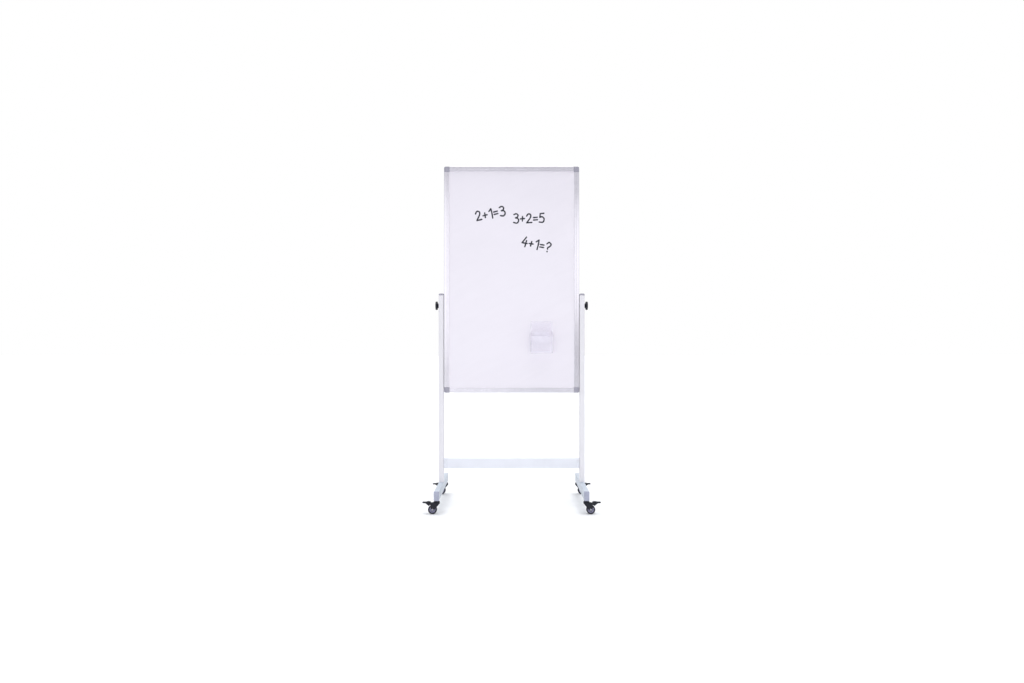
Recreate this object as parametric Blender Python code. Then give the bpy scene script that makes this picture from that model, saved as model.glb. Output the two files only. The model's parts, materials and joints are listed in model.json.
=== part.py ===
"""A rolling whiteboard: a framed board that flips over between two posts, on a wheeled base.

X runs from left to right, the writing side that faces the reader is at -Y, and Z is up.
The origin is on the floor, under the middle of the base. Lengths are in metres.
"""

import math

import bmesh
import bpy
from mathutils import Vector

# Clearances
GAP = 0.0003  # between neighbours that touch
RUNNING = 0.0001  # radial, between a shaft and the hole that it turns in

# Board
BOARD_WIDTH = 0.607
BOARD_HEIGHT = 1.016
BOARD_BASE = 0.499  # its lower edge above the floor
PIVOT_HEIGHT = 0.890
PANEL_INSET = 0.009  # from the frame's outer edge to the panel's edge
CORE_THICKNESS = 0.0118
SHEET_THICKNESS = 0.0005

# Board frame
RAIL_FACE = 0.0215
RAIL_DEPTH = 0.022
RAIL_WALL = 0.0013
RAIL_STEP = 0.013  # width of the raised outer band of a rail's face
RAIL_STEP_SLOPE = 0.0018
RAIL_LIP_DEPTH = 0.0184  # over the two inner lips, which hold the panel
RAIL_HOLLOW = 0.008  # from the outer edge to where the hollow narrows to the panel's slot
RAIL_CHAMFER = 0.0012
CORNER_SIDE = 0.024
CORNER_DEPTH = 0.023
CORNER_RADIUS = 0.007
CORNER_TONGUE = 0.015  # how far it reaches into a rail

# Stand
POST_CENTRE = 0.3163  # of posts, feet and casters, left and right of the middle
TUBE_WIDTH = 0.022
TUBE_LENGTH = 0.040  # the longer side of a post's or foot's cross-section
TUBE_WALL = 0.0015
TUBE_RADIUS = 0.003
FOOT_BASE = 0.058
FOOT_LENGTH = 0.520
POST_TOP = 0.9365
CROSSBAR_BASE = 0.1595
CROSSBAR_HEIGHT = 0.045
CROSSBAR_DEPTH = 0.020
BRACKET_LENGTH = 0.0125
PLUG_LENGTH = 0.012
CAP_THICKNESS = 0.003
CAP_EDGE = 0.6  # share of a foot's end cap that keeps the tube's outline, before it tapers
CAP_TAPER = 0.003  # how much narrower the cap is at its face
DOME_HEIGHT = 0.0085
# Share of a post cap's dome height, and how much narrower and shorter the cap is there
DOME_STATIONS = ((0.35, 0.0, 0.0), (0.70, 0.0025, 0.004), (0.90, 0.0065, 0.011), (1.0, 0.012, 0.020))

# Pivot hardware
BOLT_RADIUS = 0.004
BOLT_HEAD_RADIUS = 0.0065
BOLT_HEAD_THICKNESS = 0.005
BOLT_POINT = 0.0008
SPACER_RADIUS = 0.009
WASHER_THICKNESS = 0.0015
WASHER_RADIUS = 0.009
INSERT_RADIUS = 0.0062
INSERT_LENGTH = 0.0100
KNOB_LENGTH = 0.0135
KNOB_RADIUS = 0.019
KNOB_LOBES = 6
KNOB_LOBE = 0.0025
# Share of a knob's length, mean radius as a share of the body's, and share of the lobes' height
KNOB_STATIONS = (
    (0.0, 0.56, 0.0),
    (0.12, 0.60, 0.0),
    (0.22, 0.80, 0.35),
    (0.30, 0.96, 0.9),
    (0.38, 1.0, 1.0),
    (0.84, 1.0, 1.0),
    (0.95, 0.93, 0.9),
    (1.0, 0.78, 0.6),
)

# Casters
CASTER_SPACING = 0.480  # front to rear
CASTER_TRAIL = 0.018  # from the swivel axis out to the wheel's axle
WHEEL_RADIUS = 0.019
WHEEL_WIDTH = 0.017
RIM_RADIUS = 0.013
STEM_RADIUS = 0.004
STEM_TOP = 0.074
RIVET_RADIUS = 0.006
RIVET_HEIGHT = 0.0026
COLLAR_RADIUS = 0.009
COLLAR_BASE = 0.0549
FORK_BASE = 0.044
FORK_TOP = 0.0546
FORK_HEAD_RADIUS = 0.013
FORK_SOFTEN = 0.0015
FORK_PLATE = 0.0025
FORK_INNER = 0.0092  # half the space between the legs
FORK_LEG = 0.002
FORK_BOSS = 0.0065
AXLE_RADIUS = 0.003
AXLE_HEAD_RADIUS = 0.005
AXLE_HEAD_HEIGHT = 0.0016
TYRE_SHOULDER = 0.002
HUB_BOSS_RADIUS = 0.0058
HUB_BOSS_PROUD = 0.0004  # of the tyre's side
HUB_DISH = 0.0020  # depth of the hollow between the hub's boss and its rim
BRAKE_PIVOT = (0.0215, 0.041)  # out from the swivel axis, and above the floor
BRAKE_PIN_RADIUS = 0.002
BRAKE_SHOE_RADIUS = 0.022  # of the hollow under the pedal, about the wheel's axle
BRAKE_SHOE_ANGLES = (44, 90)
BRAKE_HALF_WIDTH = 0.0084
# Corners seen from the side, out from the swivel axis and above the floor
LEG_CORNERS = (
    (0.0260, 0.0390),
    (0.0260, 0.0450),
    (0.0200, 0.0475),
    (0.0090, 0.0500),
    (-0.0090, 0.0500),
    (-0.0120, 0.0465),
    (-0.0110, 0.0435),
)
PEDAL_HOOD = ((0.0205, 0.0430), (0.0240, 0.0480), (0.0285, 0.0530), (0.0370, 0.0536), (0.0460, 0.0514))
PEDAL_TAB = ((0.0600, 0.0512), (0.0605, 0.0500), (0.0605, 0.0477), (0.0595, 0.0467))
PEDAL_UNDERSIDE = ((0.0480, 0.0460), (0.0400, 0.0398))

# Marker holder
HOLDER_CENTRE = 0.134
HOLDER_BASE = 0.677
HOLDER_TOP = 0.818
HOLDER_PLATE_WIDTH = 0.097
HOLDER_WALL = 0.002
HOLDER_RIM_FRONT = 0.752
HOLDER_RIM_BACK = 0.777
HOLDER_FRONT_WIDTHS = (0.0995, 0.108)  # of the pocket's front, at its bottom and at its rim
HOLDER_DEPTHS = (0.033, 0.041)
HOLDER_CORNER = 0.009
MAGNET_SIZE = (0.070, 0.002, 0.050)
PLATE_CORNER = 0.004  # of the holder's plate and of its magnet

# Number of straight sides that stand for a circle or for a rounded corner
ROUND = 20
WHEEL_SIDES = 28
PIN_SIDES = 16
CORNER_STEPS = 3
LOBE_SIDES = 6  # per lobe of a knob

OVERLAP = 0.0001  # keeps the faces of solids that are joined from lying in one plane

# Materials: colour, roughness, metallic
FINISHES = {
    "white_enamel": ((0.86, 0.86, 0.91), 0.12, 0.0),
    "honeycomb_board": ((0.55, 0.42, 0.28), 0.9, 0.0),
    "brushed_aluminium": ((0.72, 0.72, 0.76), 0.35, 1.0),
    "grey_plastic": ((0.42, 0.42, 0.50), 0.5, 0.0),
    "white_powder_coat": ((0.84, 0.84, 0.90), 0.4, 0.0),
    "zinc_steel": ((0.70, 0.70, 0.72), 0.3, 1.0),
    "black_plastic": ((0.02, 0.02, 0.025), 0.45, 0.0),
    "tyre_rubber": ((0.05, 0.05, 0.07), 0.8, 0.0),
    "hub_plastic": ((0.55, 0.55, 0.68), 0.4, 0.0),
    "nylon": ((0.80, 0.80, 0.82), 0.5, 0.0),
    "clear_plastic": ((0.80, 0.79, 0.86), 0.2, 0.0),
    "white_magnet": ((0.84, 0.83, 0.88), 0.6, 0.0),
}


def clear_scene():
    for obj in list(bpy.data.objects):
        bpy.data.objects.remove(obj, do_unlink=True)


def make_materials():
    made = {}
    for name, (colour, roughness, metallic) in FINISHES.items():
        material = bpy.data.materials.new(name)
        material.use_nodes = True
        shader = material.node_tree.nodes["Principled BSDF"]
        shader.inputs["Base Color"].default_value = (*colour, 1.0)
        shader.inputs["Roughness"].default_value = roughness
        shader.inputs["Metallic"].default_value = metallic
        material.diffuse_color = (*colour, 1.0)
        made[name] = material
    return made


# ---------------------------------------------------------------- shape helpers


def arc(centre, radius, start, end, steps):
    """Points on a circle, from one angle in degrees to another."""
    angles = [math.radians(start + (end - start) * i / steps) for i in range(steps + 1)]
    return [(centre[0] + radius * math.cos(a), centre[1] + radius * math.sin(a)) for a in angles]


def rounded_rectangle(width, height, radius):
    """The outline of a centred rectangle with rounded corners, anticlockwise."""
    x = width / 2 - radius
    y = height / 2 - radius
    corners = [((x, y), 0), ((-x, y), 90), ((-x, -y), 180), ((x, -y), 270)]
    points = []
    for centre, start in corners:
        points += arc(centre, radius, start, start + 90, CORNER_STEPS)
    return points


def along(axis, outline, position):
    """A flat outline as a ring of 3-D points that crosses the given axis at a position."""
    if axis == "X":
        return [Vector((position, a, b)) for a, b in outline]
    if axis == "Y":
        return [Vector((a, position, b)) for a, b in outline]
    return [Vector((a, b, position)) for a, b in outline]


def finish_mesh(name, bm, material, parent):
    """Turns a bmesh into a smooth-shaded object that hangs on its parent."""
    bmesh.ops.remove_doubles(bm, verts=bm.verts, dist=1e-6)
    bmesh.ops.recalc_face_normals(bm, faces=bm.faces)
    mesh = bpy.data.meshes.new(name)
    bm.to_mesh(mesh)
    bm.free()
    mesh.shade_smooth()
    mesh.set_sharp_from_angle(angle=math.radians(35))
    obj = bpy.data.objects.new(name, mesh)
    bpy.context.collection.objects.link(obj)
    obj.parent = parent
    if material:
        mesh.materials.append(material)
    return obj


def loft(name, rings, material, parent, closed=False):
    """A skin through rings of points. Closed, it runs back to the first ring, as a tube's walls do."""
    bm = bmesh.new()
    loops = [[bm.verts.new(point) for point in ring] for ring in rings]
    count = len(loops[0])
    pairs = list(zip(loops, loops[1:]))
    if closed:
        pairs.append((loops[-1], loops[0]))
    else:
        bm.faces.new(loops[0])
        bm.faces.new(loops[-1])
    for low, high in pairs:
        for i in range(count):
            j = (i + 1) % count
            bm.faces.new((low[i], low[j], high[j], high[i]))
    return finish_mesh(name, bm, material, parent)


def prism(name, axis, outline, start, end, material, parent):
    return loft(name, [along(axis, outline, start), along(axis, outline, end)], material, parent)


def tube(name, axis, outer, inner, start, end, material, parent):
    """A length of hollow section, open at both ends."""
    rings = [along(axis, outer, start), along(axis, outer, end)]
    rings += [along(axis, inner, end), along(axis, inner, start)]
    return loft(name, rings, material, parent, closed=True)


def turned(name, axis, centre, profile, sides, material, parent):
    """A profile of (radius, position) points spun about an axis through a centre."""
    spin_axis = Vector({"X": (1, 0, 0), "Y": (0, 1, 0), "Z": (0, 0, 1)}[axis])
    radial = Vector({"X": (0, 0, 1), "Y": (0, 0, 1), "Z": (1, 0, 0)}[axis])
    bm = bmesh.new()
    points = [bm.verts.new(Vector(centre) + radial * r + spin_axis * p) for r, p in profile]
    edges = [bm.edges.new(pair) for pair in zip(points, points[1:])]
    if profile[0][0] > 0:
        edges.append(bm.edges.new((points[-1], points[0])))
    bmesh.ops.spin(
        bm,
        geom=points + edges,
        cent=centre,
        axis=spin_axis,
        angle=2 * math.pi,
        steps=sides,
        use_merge=True,
    )
    return finish_mesh(name, bm, material, parent)


def pin(name, axis, centre, radius, start, end, sides, material, parent):
    """A plain cylinder along an axis."""
    profile = [(0, start), (radius, start), (radius, end), (0, end)]
    return turned(name, axis, centre, profile, sides, material, parent)


def combine(target, tool, operation):
    """Joins a hidden tool to the target, or cuts it out."""
    tool.hide_render = True
    tool.display_type = "WIRE"
    modifier = target.modifiers.new(tool.name, "BOOLEAN")
    modifier.operation = operation
    modifier.solver = "EXACT"
    modifier.object = tool


def axis_empty(name, location, parent=None, turn=0.0):
    """A joint axis, or the place of an assembly, for pieces to hang on."""
    empty = bpy.data.objects.new(name, None)
    empty.empty_display_size = 0.03
    empty.location = location
    empty.rotation_euler.z = turn
    empty.parent = parent
    bpy.context.collection.objects.link(empty)
    return empty


# ---------------------------------------------------------------- board, measured from its pivot


def board_edges():
    """Left, right, bottom and top edge of the board's frame, measured from the pivot."""
    bottom = BOARD_BASE - PIVOT_HEIGHT
    return -BOARD_WIDTH / 2, BOARD_WIDTH / 2, bottom, bottom + BOARD_HEIGHT


def panel_outline():
    left, right, bottom, top = board_edges()
    inset = PANEL_INSET
    return [
        (left + inset, bottom + inset),
        (right - inset, bottom + inset),
        (right - inset, top - inset),
        (left + inset, top - inset),
    ]


def panel_faces():
    """The distances from mid-board to the core's face, and to a sheet's inner and outer face."""
    core = CORE_THICKNESS / 2
    return core, core + GAP, core + GAP + SHEET_THICKNESS


def rail_section():
    """A rail's cross-section: inward from the board's edge, and front to back."""
    face = RAIL_DEPTH / 2
    lip = RAIL_LIP_DEPTH / 2
    slot = panel_faces()[2] + GAP
    hollow = face - RAIL_WALL
    front = [
        (0, -face + RAIL_CHAMFER),
        (RAIL_CHAMFER, -face),
        (RAIL_STEP, -face),
        (RAIL_STEP + RAIL_STEP_SLOPE, -lip),
        (RAIL_FACE, -lip),
        (RAIL_FACE, -slot),
        (RAIL_HOLLOW, -slot),
        (RAIL_HOLLOW, -hollow),
        (RAIL_WALL, -hollow),
    ]
    back = [(inward, -depth) for inward, depth in reversed(front)]
    # The hollow's two outer corners sit in the middle of the list, so the outline closes through the edge.
    return front + back


def make_panel(board, finish):
    outline = panel_outline()
    core, inner, outer = panel_faces()
    prism("board_core", "Y", outline, -core, core, finish["honeycomb_board"], board)
    prism("writing_surface_front", "Y", outline, -outer, -inner, finish["white_enamel"], board)
    prism("writing_surface_back", "Y", outline, inner, outer, finish["white_enamel"], board)


def make_rails(board, finish):
    left, right, bottom, top = board_edges()
    section = rail_section()
    end = CORNER_SIDE + GAP
    metal = finish["brushed_aluminium"]
    for name, edge, inward in (("left", left, 1), ("right", right, -1)):
        outline = [(edge + inward * u, v) for u, v in section]
        rail = prism("frame_rail_" + name, "Z", outline, bottom + end, top - end, metal, board)
        hole = pin(
            "hole_rail_" + name,
            "X",
            (edge, 0, 0),
            BOLT_RADIUS + GAP,
            -2 * RAIL_WALL,
            2 * RAIL_WALL,
            ROUND,
            None,
            board,
        )
        combine(rail, hole, "DIFFERENCE")
    for name, edge, inward in (("bottom", bottom, 1), ("top", top, -1)):
        outline = [(v, edge + inward * u) for u, v in section]
        prism("frame_rail_" + name, "X", outline, left + end, right - end, metal, board)


def corner_outline():
    """The face of a corner cap, inward from the board's two edges."""
    outer = arc((CORNER_RADIUS, CORNER_RADIUS), CORNER_RADIUS, 180, 270, 2 * CORNER_STEPS)
    return outer + [(CORNER_SIDE, 0), (CORNER_SIDE, CORNER_SIDE), (0, CORNER_SIDE)]


def tongue_outline():
    """The L of two tongues that reach into the rails' hollows."""
    near = RAIL_WALL + GAP
    far = RAIL_HOLLOW - GAP
    end = CORNER_SIDE + CORNER_TONGUE
    return [(near, near), (end, near), (end, far), (far, far), (far, end), (near, end)]


def make_corner_caps(board, finish):
    left, right, bottom, top = board_edges()
    slot_start = PANEL_INSET - GAP
    slot_end = CORNER_SIDE + CORNER_TONGUE
    slot = [
        (slot_start, slot_start),
        (slot_end, slot_start),
        (slot_end, slot_end),
        (slot_start, slot_end),
    ]
    slot_depth = panel_faces()[2] + GAP
    tongue_depth = RAIL_DEPTH / 2 - RAIL_WALL - GAP
    for side, x, inward in (("left", left, 1), ("right", right, -1)):
        for level, z, upward in (("bottom", bottom, 1), ("top", top, -1)):
            name = f"{level}_{side}"

            def block(prefix, outline, depth, material=None):
                placed = [(x + inward * u, z + upward * v) for u, v in outline]
                return prism(prefix + name, "Y", placed, -depth, depth, material, board)

            cap = block("corner_cap_", corner_outline(), CORNER_DEPTH / 2, finish["grey_plastic"])
            combine(cap, block("tongues_", tongue_outline(), tongue_depth), "UNION")
            combine(cap, block("panel_slot_", slot, slot_depth), "DIFFERENCE")


def make_pivot(board, finish, side, outward):
    """Bolt, spacer, washer, threaded insert and knob on one side, on the tilt axis."""
    edge = BOARD_WIDTH / 2
    post_inner = POST_CENTRE - TUBE_WIDTH / 2
    post_outer = POST_CENTRE + TUBE_WIDTH / 2
    washer_start = post_outer + GAP
    knob_start = washer_start + WASHER_THICKNESS + GAP
    insert_end = knob_start + INSERT_LENGTH

    def spun(name, profile, material, parent, sides=ROUND):
        placed = [(r, outward * x) for r, x in profile]
        return turned(name + side, "X", (0, 0, 0), placed, sides, material, parent)

    def ring(name, inner, outer, start, end, material, parent):
        corners = [(inner, start), (outer, start), (outer, end), (inner, end)]
        return spun(name, corners, material, parent)

    head_end = edge - RAIL_WALL - GAP
    head_start = head_end - BOLT_HEAD_THICKNESS
    bolt_end = insert_end - RUNNING
    bolt = [
        (0, head_start),
        (BOLT_HEAD_RADIUS, head_start),
        (BOLT_HEAD_RADIUS, head_end),
        (BOLT_RADIUS, head_end),
        (BOLT_RADIUS, bolt_end - BOLT_POINT),
        (BOLT_RADIUS - BOLT_POINT, bolt_end),
        (0, bolt_end),
    ]
    spun("pivot_bolt_", bolt, finish["zinc_steel"], board)
    spacer = (BOLT_RADIUS + GAP, SPACER_RADIUS, edge + GAP, post_inner - GAP)
    ring("pivot_spacer_", *spacer, finish["nylon"], board)

    # The washer slides on the bolt as the knob turns, and both travel together.
    travel = axis_empty("knob_travel_" + side, (0, 0, 0), board)
    bore = BOLT_RADIUS + RUNNING
    washer_end = washer_start + WASHER_THICKNESS
    black = finish["black_plastic"]
    ring("knob_washer_", bore, WASHER_RADIUS, washer_start, washer_end, black, travel)
    turn = axis_empty("knob_turn_" + side, (0, 0, 0), travel)
    ring("knob_insert_", bore, INSERT_RADIUS, knob_start, insert_end, finish["zinc_steel"], turn)
    make_knob(turn, finish, side, outward, knob_start, insert_end)


def lobed_ring(radius, lobe, position):
    """A ring across X whose radius rises by a lobe's height at each lobe, with one lobe straight up."""
    count = LOBE_SIDES * KNOB_LOBES
    ring = []
    for i in range(count):
        angle = 2 * math.pi * i / count
        r = radius + lobe * math.cos(KNOB_LOBES * angle)
        ring.append(Vector((position, r * math.sin(angle), r * math.cos(angle))))
    return ring


def make_knob(turn, finish, side, outward, start, insert_end):
    body = KNOB_RADIUS - KNOB_LOBE
    rings = []
    for share, radius, lobes in KNOB_STATIONS:
        position = outward * (start + KNOB_LENGTH * share)
        rings.append(lobed_ring(body * radius, KNOB_LOBE * lobes, position))
    knob = loft("knob_" + side, rings, finish["black_plastic"], turn)
    bore = pin(
        "knob_bore_" + side,
        "X",
        (0, 0, 0),
        INSERT_RADIUS + GAP,
        outward * (start - GAP),
        outward * (insert_end + GAP),
        ROUND,
        None,
        turn,
    )
    combine(knob, bore, "DIFFERENCE")


# ---------------------------------------------------------------- marker holder


def pocket_ring(shrink, share, z_back, z_front):
    """A ring round the pocket, at a share of its height. It is narrower at the board than in front."""
    front_width = HOLDER_FRONT_WIDTHS[0] + share * (HOLDER_FRONT_WIDTHS[1] - HOLDER_FRONT_WIDTHS[0])
    depth = HOLDER_DEPTHS[0] + share * (HOLDER_DEPTHS[1] - HOLDER_DEPTHS[0]) - 2 * shrink
    ring = []
    for x, y in rounded_rectangle(HOLDER_PLATE_WIDTH, depth, HOLDER_CORNER):
        forward = 0.5 - y / depth  # 0 at the board, 1 at the pocket's front
        flare = forward * (front_width - HOLDER_PLATE_WIDTH) / 2 - shrink
        height = z_back + forward * (z_front - z_back)
        ring.append(Vector((x + math.copysign(flare, x), y - depth / 2, height)))
    return ring


def make_marker_holder(board, finish):
    """A pocket on a back plate, which a magnet holds on the front sheet."""
    sheet = panel_faces()[2]
    magnet_front = sheet + GAP + MAGNET_SIZE[1]
    plate_back = magnet_front + GAP
    centre_z = (HOLDER_BASE + HOLDER_TOP) / 2
    pull = axis_empty("holder_pull", (HOLDER_CENTRE, 0, centre_z - PIVOT_HEIGHT), board)

    magnet = rounded_rectangle(MAGNET_SIZE[0], MAGNET_SIZE[2], PLATE_CORNER)
    prism("holder_magnet", "Y", magnet, -magnet_front, -sheet - GAP, finish["white_magnet"], pull)

    plate = rounded_rectangle(HOLDER_PLATE_WIDTH, HOLDER_TOP - HOLDER_BASE, PLATE_CORNER)
    holder = prism(
        "marker_holder",
        "Y",
        plate,
        -plate_back - HOLDER_WALL,
        -plate_back,
        finish["clear_plastic"],
        pull,
    )
    base = HOLDER_BASE - centre_z
    back = HOLDER_RIM_BACK - centre_z
    front = HOLDER_RIM_FRONT - centre_z
    inner_base = base + HOLDER_WALL
    above = 0.03
    outer = [pocket_ring(0, 0, base + OVERLAP, base + OVERLAP), pocket_ring(0, 1, back, front)]
    inner = [
        pocket_ring(HOLDER_WALL, 0, inner_base, inner_base),
        pocket_ring(HOLDER_WALL, 1, back, front),
        pocket_ring(HOLDER_WALL, 1, back + above, front + above),
    ]
    pocket = loft("pocket_outside", outer, None, pull)
    hollow = loft("pocket_inside", inner, None, pull)
    pocket.location.y = -plate_back - OVERLAP
    hollow.location.y = -plate_back - HOLDER_WALL - OVERLAP
    combine(holder, pocket, "UNION")
    combine(holder, hollow, "DIFFERENCE")


# ---------------------------------------------------------------- stand


def capped_rings(axis, sizes):
    """Rounded rectangles at positions along an axis, from (position, width, height, corner radius)."""
    return [along(axis, rounded_rectangle(w, h, r), p) for p, w, h, r in sizes]


def shifted(rings, offset):
    return [[point + Vector(offset) for point in ring] for ring in rings]


def tube_outlines(width, height):
    """The outer and inner outline of a rectangular tube."""
    outer = rounded_rectangle(width, height, TUBE_RADIUS)
    inner = rounded_rectangle(width - 2 * TUBE_WALL, height - 2 * TUBE_WALL, TUBE_RADIUS - TUBE_WALL)
    return outer, inner


def make_post(stand, finish, side, x):
    foot_top = FOOT_BASE + TUBE_LENGTH
    outer, inner = tube_outlines(TUBE_WIDTH, TUBE_LENGTH)
    steel = finish["white_powder_coat"]
    post = tube("post_" + side, "Z", outer, inner, foot_top + GAP, POST_TOP, steel, stand)
    post.location.x = x
    reach = TUBE_WIDTH
    hole_radius = BOLT_RADIUS + RUNNING
    centre = (x, 0, PIVOT_HEIGHT)
    hole = pin("hole_post_" + side, "X", centre, hole_radius, -reach, reach, ROUND, None, stand)
    combine(post, hole, "DIFFERENCE")

    plug_width = TUBE_WIDTH - 2 * (TUBE_WALL + GAP)
    plug_length = TUBE_LENGTH - 2 * (TUBE_WALL + GAP)
    corner = TUBE_RADIUS - TUBE_WALL
    start = POST_TOP + GAP
    width = TUBE_WIDTH
    length = TUBE_LENGTH
    sizes = [
        (start - PLUG_LENGTH, plug_width, plug_length, corner),
        (start, plug_width, plug_length, corner),
        (start, width, length, TUBE_RADIUS),
    ]
    for share, narrower, shorter in DOME_STATIONS:
        position = start + share * DOME_HEIGHT
        sizes.append((position, width - narrower, length - shorter, TUBE_RADIUS))
    rings = shifted(capped_rings("Z", sizes), (x, 0, 0))
    loft("post_cap_" + side, rings, finish["grey_plastic"], stand)


def make_foot(stand, finish, side, x):
    tube_end = FOOT_LENGTH / 2 - CAP_THICKNESS - GAP
    centre_z = FOOT_BASE + TUBE_LENGTH / 2
    outer, inner = tube_outlines(TUBE_WIDTH, TUBE_LENGTH)
    steel = finish["white_powder_coat"]
    foot = tube("foot_" + side, "Y", outer, inner, -tube_end, tube_end, steel, stand)
    foot.location = (x, 0, centre_z)
    for place, y in (("front", -CASTER_SPACING / 2), ("rear", CASTER_SPACING / 2)):
        centre = (x, y, FOOT_BASE)
        hole_radius = STEM_RADIUS + GAP
        reach = 2 * TUBE_WALL
        name = f"hole_foot_{side}_{place}"
        hole = pin(name, "Z", centre, hole_radius, -reach, reach, ROUND, None, stand)
        combine(foot, hole, "DIFFERENCE")

    plug_width = TUBE_WIDTH - 2 * (TUBE_WALL + GAP)
    plug_height = TUBE_LENGTH - 2 * (TUBE_WALL + GAP)
    corner = TUBE_RADIUS - TUBE_WALL
    face_width = TUBE_WIDTH - CAP_TAPER
    face_height = TUBE_LENGTH - CAP_TAPER
    start = FOOT_LENGTH / 2 - CAP_THICKNESS
    for place, outward in (("front", -1), ("rear", 1)):
        sizes = [
            (outward * (start - PLUG_LENGTH), plug_width, plug_height, corner),
            (outward * start, plug_width, plug_height, corner),
            (outward * start, TUBE_WIDTH, TUBE_LENGTH, TUBE_RADIUS),
            (outward * (start + CAP_EDGE * CAP_THICKNESS), TUBE_WIDTH, TUBE_LENGTH, TUBE_RADIUS),
            (outward * (start + CAP_THICKNESS), face_width, face_height, TUBE_RADIUS),
        ]
        rings = shifted(capped_rings("Y", sizes), (x, 0, centre_z))
        loft(f"foot_end_cap_{side}_{place}", rings, finish["grey_plastic"], stand)


def make_crossbar(stand, finish):
    post_inner = POST_CENTRE - TUBE_WIDTH / 2
    bracket_end = post_inner - GAP
    bracket_start = bracket_end - BRACKET_LENGTH
    bar_end = bracket_start - GAP
    centre_z = CROSSBAR_BASE + CROSSBAR_HEIGHT / 2
    outer, inner = tube_outlines(CROSSBAR_DEPTH, CROSSBAR_HEIGHT)
    steel = finish["white_powder_coat"]
    bar = tube("crossbar", "X", outer, inner, -bar_end, bar_end, steel, stand)
    bar.location.z = centre_z

    plug_depth = CROSSBAR_DEPTH - 2 * (TUBE_WALL + GAP)
    plug_height = CROSSBAR_HEIGHT - 2 * (TUBE_WALL + GAP)
    corner = TUBE_RADIUS - TUBE_WALL
    for side, outward in (("left", -1), ("right", 1)):
        sizes = [
            (outward * (bracket_start - PLUG_LENGTH), plug_depth, plug_height, corner),
            (outward * bracket_start, plug_depth, plug_height, corner),
            (outward * bracket_start, CROSSBAR_DEPTH, CROSSBAR_HEIGHT, TUBE_RADIUS),
            (outward * bracket_end, CROSSBAR_DEPTH, CROSSBAR_HEIGHT, TUBE_RADIUS),
        ]
        rings = shifted(capped_rings("X", sizes), (0, 0, centre_z))
        loft("crossbar_bracket_" + side, rings, steel, stand)


# ---------------------------------------------------------------- casters, with +X as the trailing side


def make_stem(corner, name, finish):
    rivet_base = FORK_BASE - RIVET_HEIGHT
    collar_top = FOOT_BASE - GAP
    profile = [
        (0, rivet_base),
        (RIVET_RADIUS, rivet_base),
        (RIVET_RADIUS, FORK_BASE - GAP),
        (STEM_RADIUS, FORK_BASE - GAP),
        (STEM_RADIUS, COLLAR_BASE),
        (COLLAR_RADIUS, COLLAR_BASE),
        (COLLAR_RADIUS, collar_top),
        (STEM_RADIUS, collar_top),
        (STEM_RADIUS, STEM_TOP),
        (0, STEM_TOP),
    ]
    turned(name + "_stem", "Z", (0, 0, 0), profile, ROUND, finish["zinc_steel"], corner)


def leg_outline():
    """A fork leg from the side: a boss round the axle that widens up to the head."""
    boss = arc((CASTER_TRAIL, WHEEL_RADIUS), FORK_BOSS, 190, 350, 2 * CORNER_STEPS)
    return boss + list(LEG_CORNERS)


def plate_outline():
    """The fork's top plate from above: round at the swivel, square over the wheel."""
    half = FORK_INNER + FORK_LEG - OVERLAP
    end = BRAKE_PIVOT[0] - BRAKE_PIN_RADIUS
    return arc((0, 0), half, 90, 270, 8) + [(end, -half), (end, half)]


def make_fork(swivel, name, finish):
    profile = [
        (0, FORK_BASE),
        (FORK_HEAD_RADIUS - FORK_SOFTEN, FORK_BASE),
        (FORK_HEAD_RADIUS, FORK_BASE + FORK_SOFTEN),
        (FORK_HEAD_RADIUS, FORK_TOP - 2 * FORK_SOFTEN),
        (FORK_HEAD_RADIUS - 2 * FORK_SOFTEN, FORK_TOP),
        (0, FORK_TOP),
    ]
    fork = turned(name + "_fork", "Z", (0, 0, 0), profile, ROUND, finish["black_plastic"], swivel)
    low = FORK_BASE + OVERLAP
    plate = prism(name + "_plate", "Z", plate_outline(), low, low + FORK_PLATE, None, swivel)
    combine(fork, plate, "UNION")
    for place, side in (("near", -1), ("far", 1)):
        inner = side * FORK_INNER
        outer = side * (FORK_INNER + FORK_LEG)
        leg = prism(f"{name}_leg_{place}", "Y", leg_outline(), inner, outer, None, swivel)
        combine(fork, leg, "UNION")

    reach = 0.02
    axle_centre = (CASTER_TRAIL, 0, WHEEL_RADIUS)
    pivot_centre = (BRAKE_PIVOT[0], 0, BRAKE_PIVOT[1])
    bores = [
        ("_stem_bore", "Z", (0, 0, FORK_TOP), STEM_RADIUS + RUNNING, ROUND),
        ("_axle_bore", "Y", axle_centre, AXLE_RADIUS + GAP, PIN_SIDES),
        ("_pivot_bore", "Y", pivot_centre, BRAKE_PIN_RADIUS + RUNNING, PIN_SIDES),
    ]
    for suffix, axis, centre, radius, sides in bores:
        bore = pin(name + suffix, axis, centre, radius, -reach, reach, sides, None, swivel)
        combine(fork, bore, "DIFFERENCE")


def make_axle(swivel, name, finish):
    """A rivet with a domed head on each side of the fork."""
    face = FORK_INNER + FORK_LEG + GAP
    centre = (CASTER_TRAIL, 0, WHEEL_RADIUS)
    head = [
        (0, face + AXLE_HEAD_HEIGHT),
        (0.8 * AXLE_HEAD_RADIUS, face + 0.8 * AXLE_HEAD_HEIGHT),
        (AXLE_HEAD_RADIUS, face + 0.4 * AXLE_HEAD_HEIGHT),
        (AXLE_HEAD_RADIUS, face),
        (AXLE_RADIUS, face),
    ]
    profile = head + [(r, -y) for r, y in reversed(head)]
    turned(name + "_axle", "Y", centre, profile, PIN_SIDES, finish["zinc_steel"], swivel)


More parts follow.
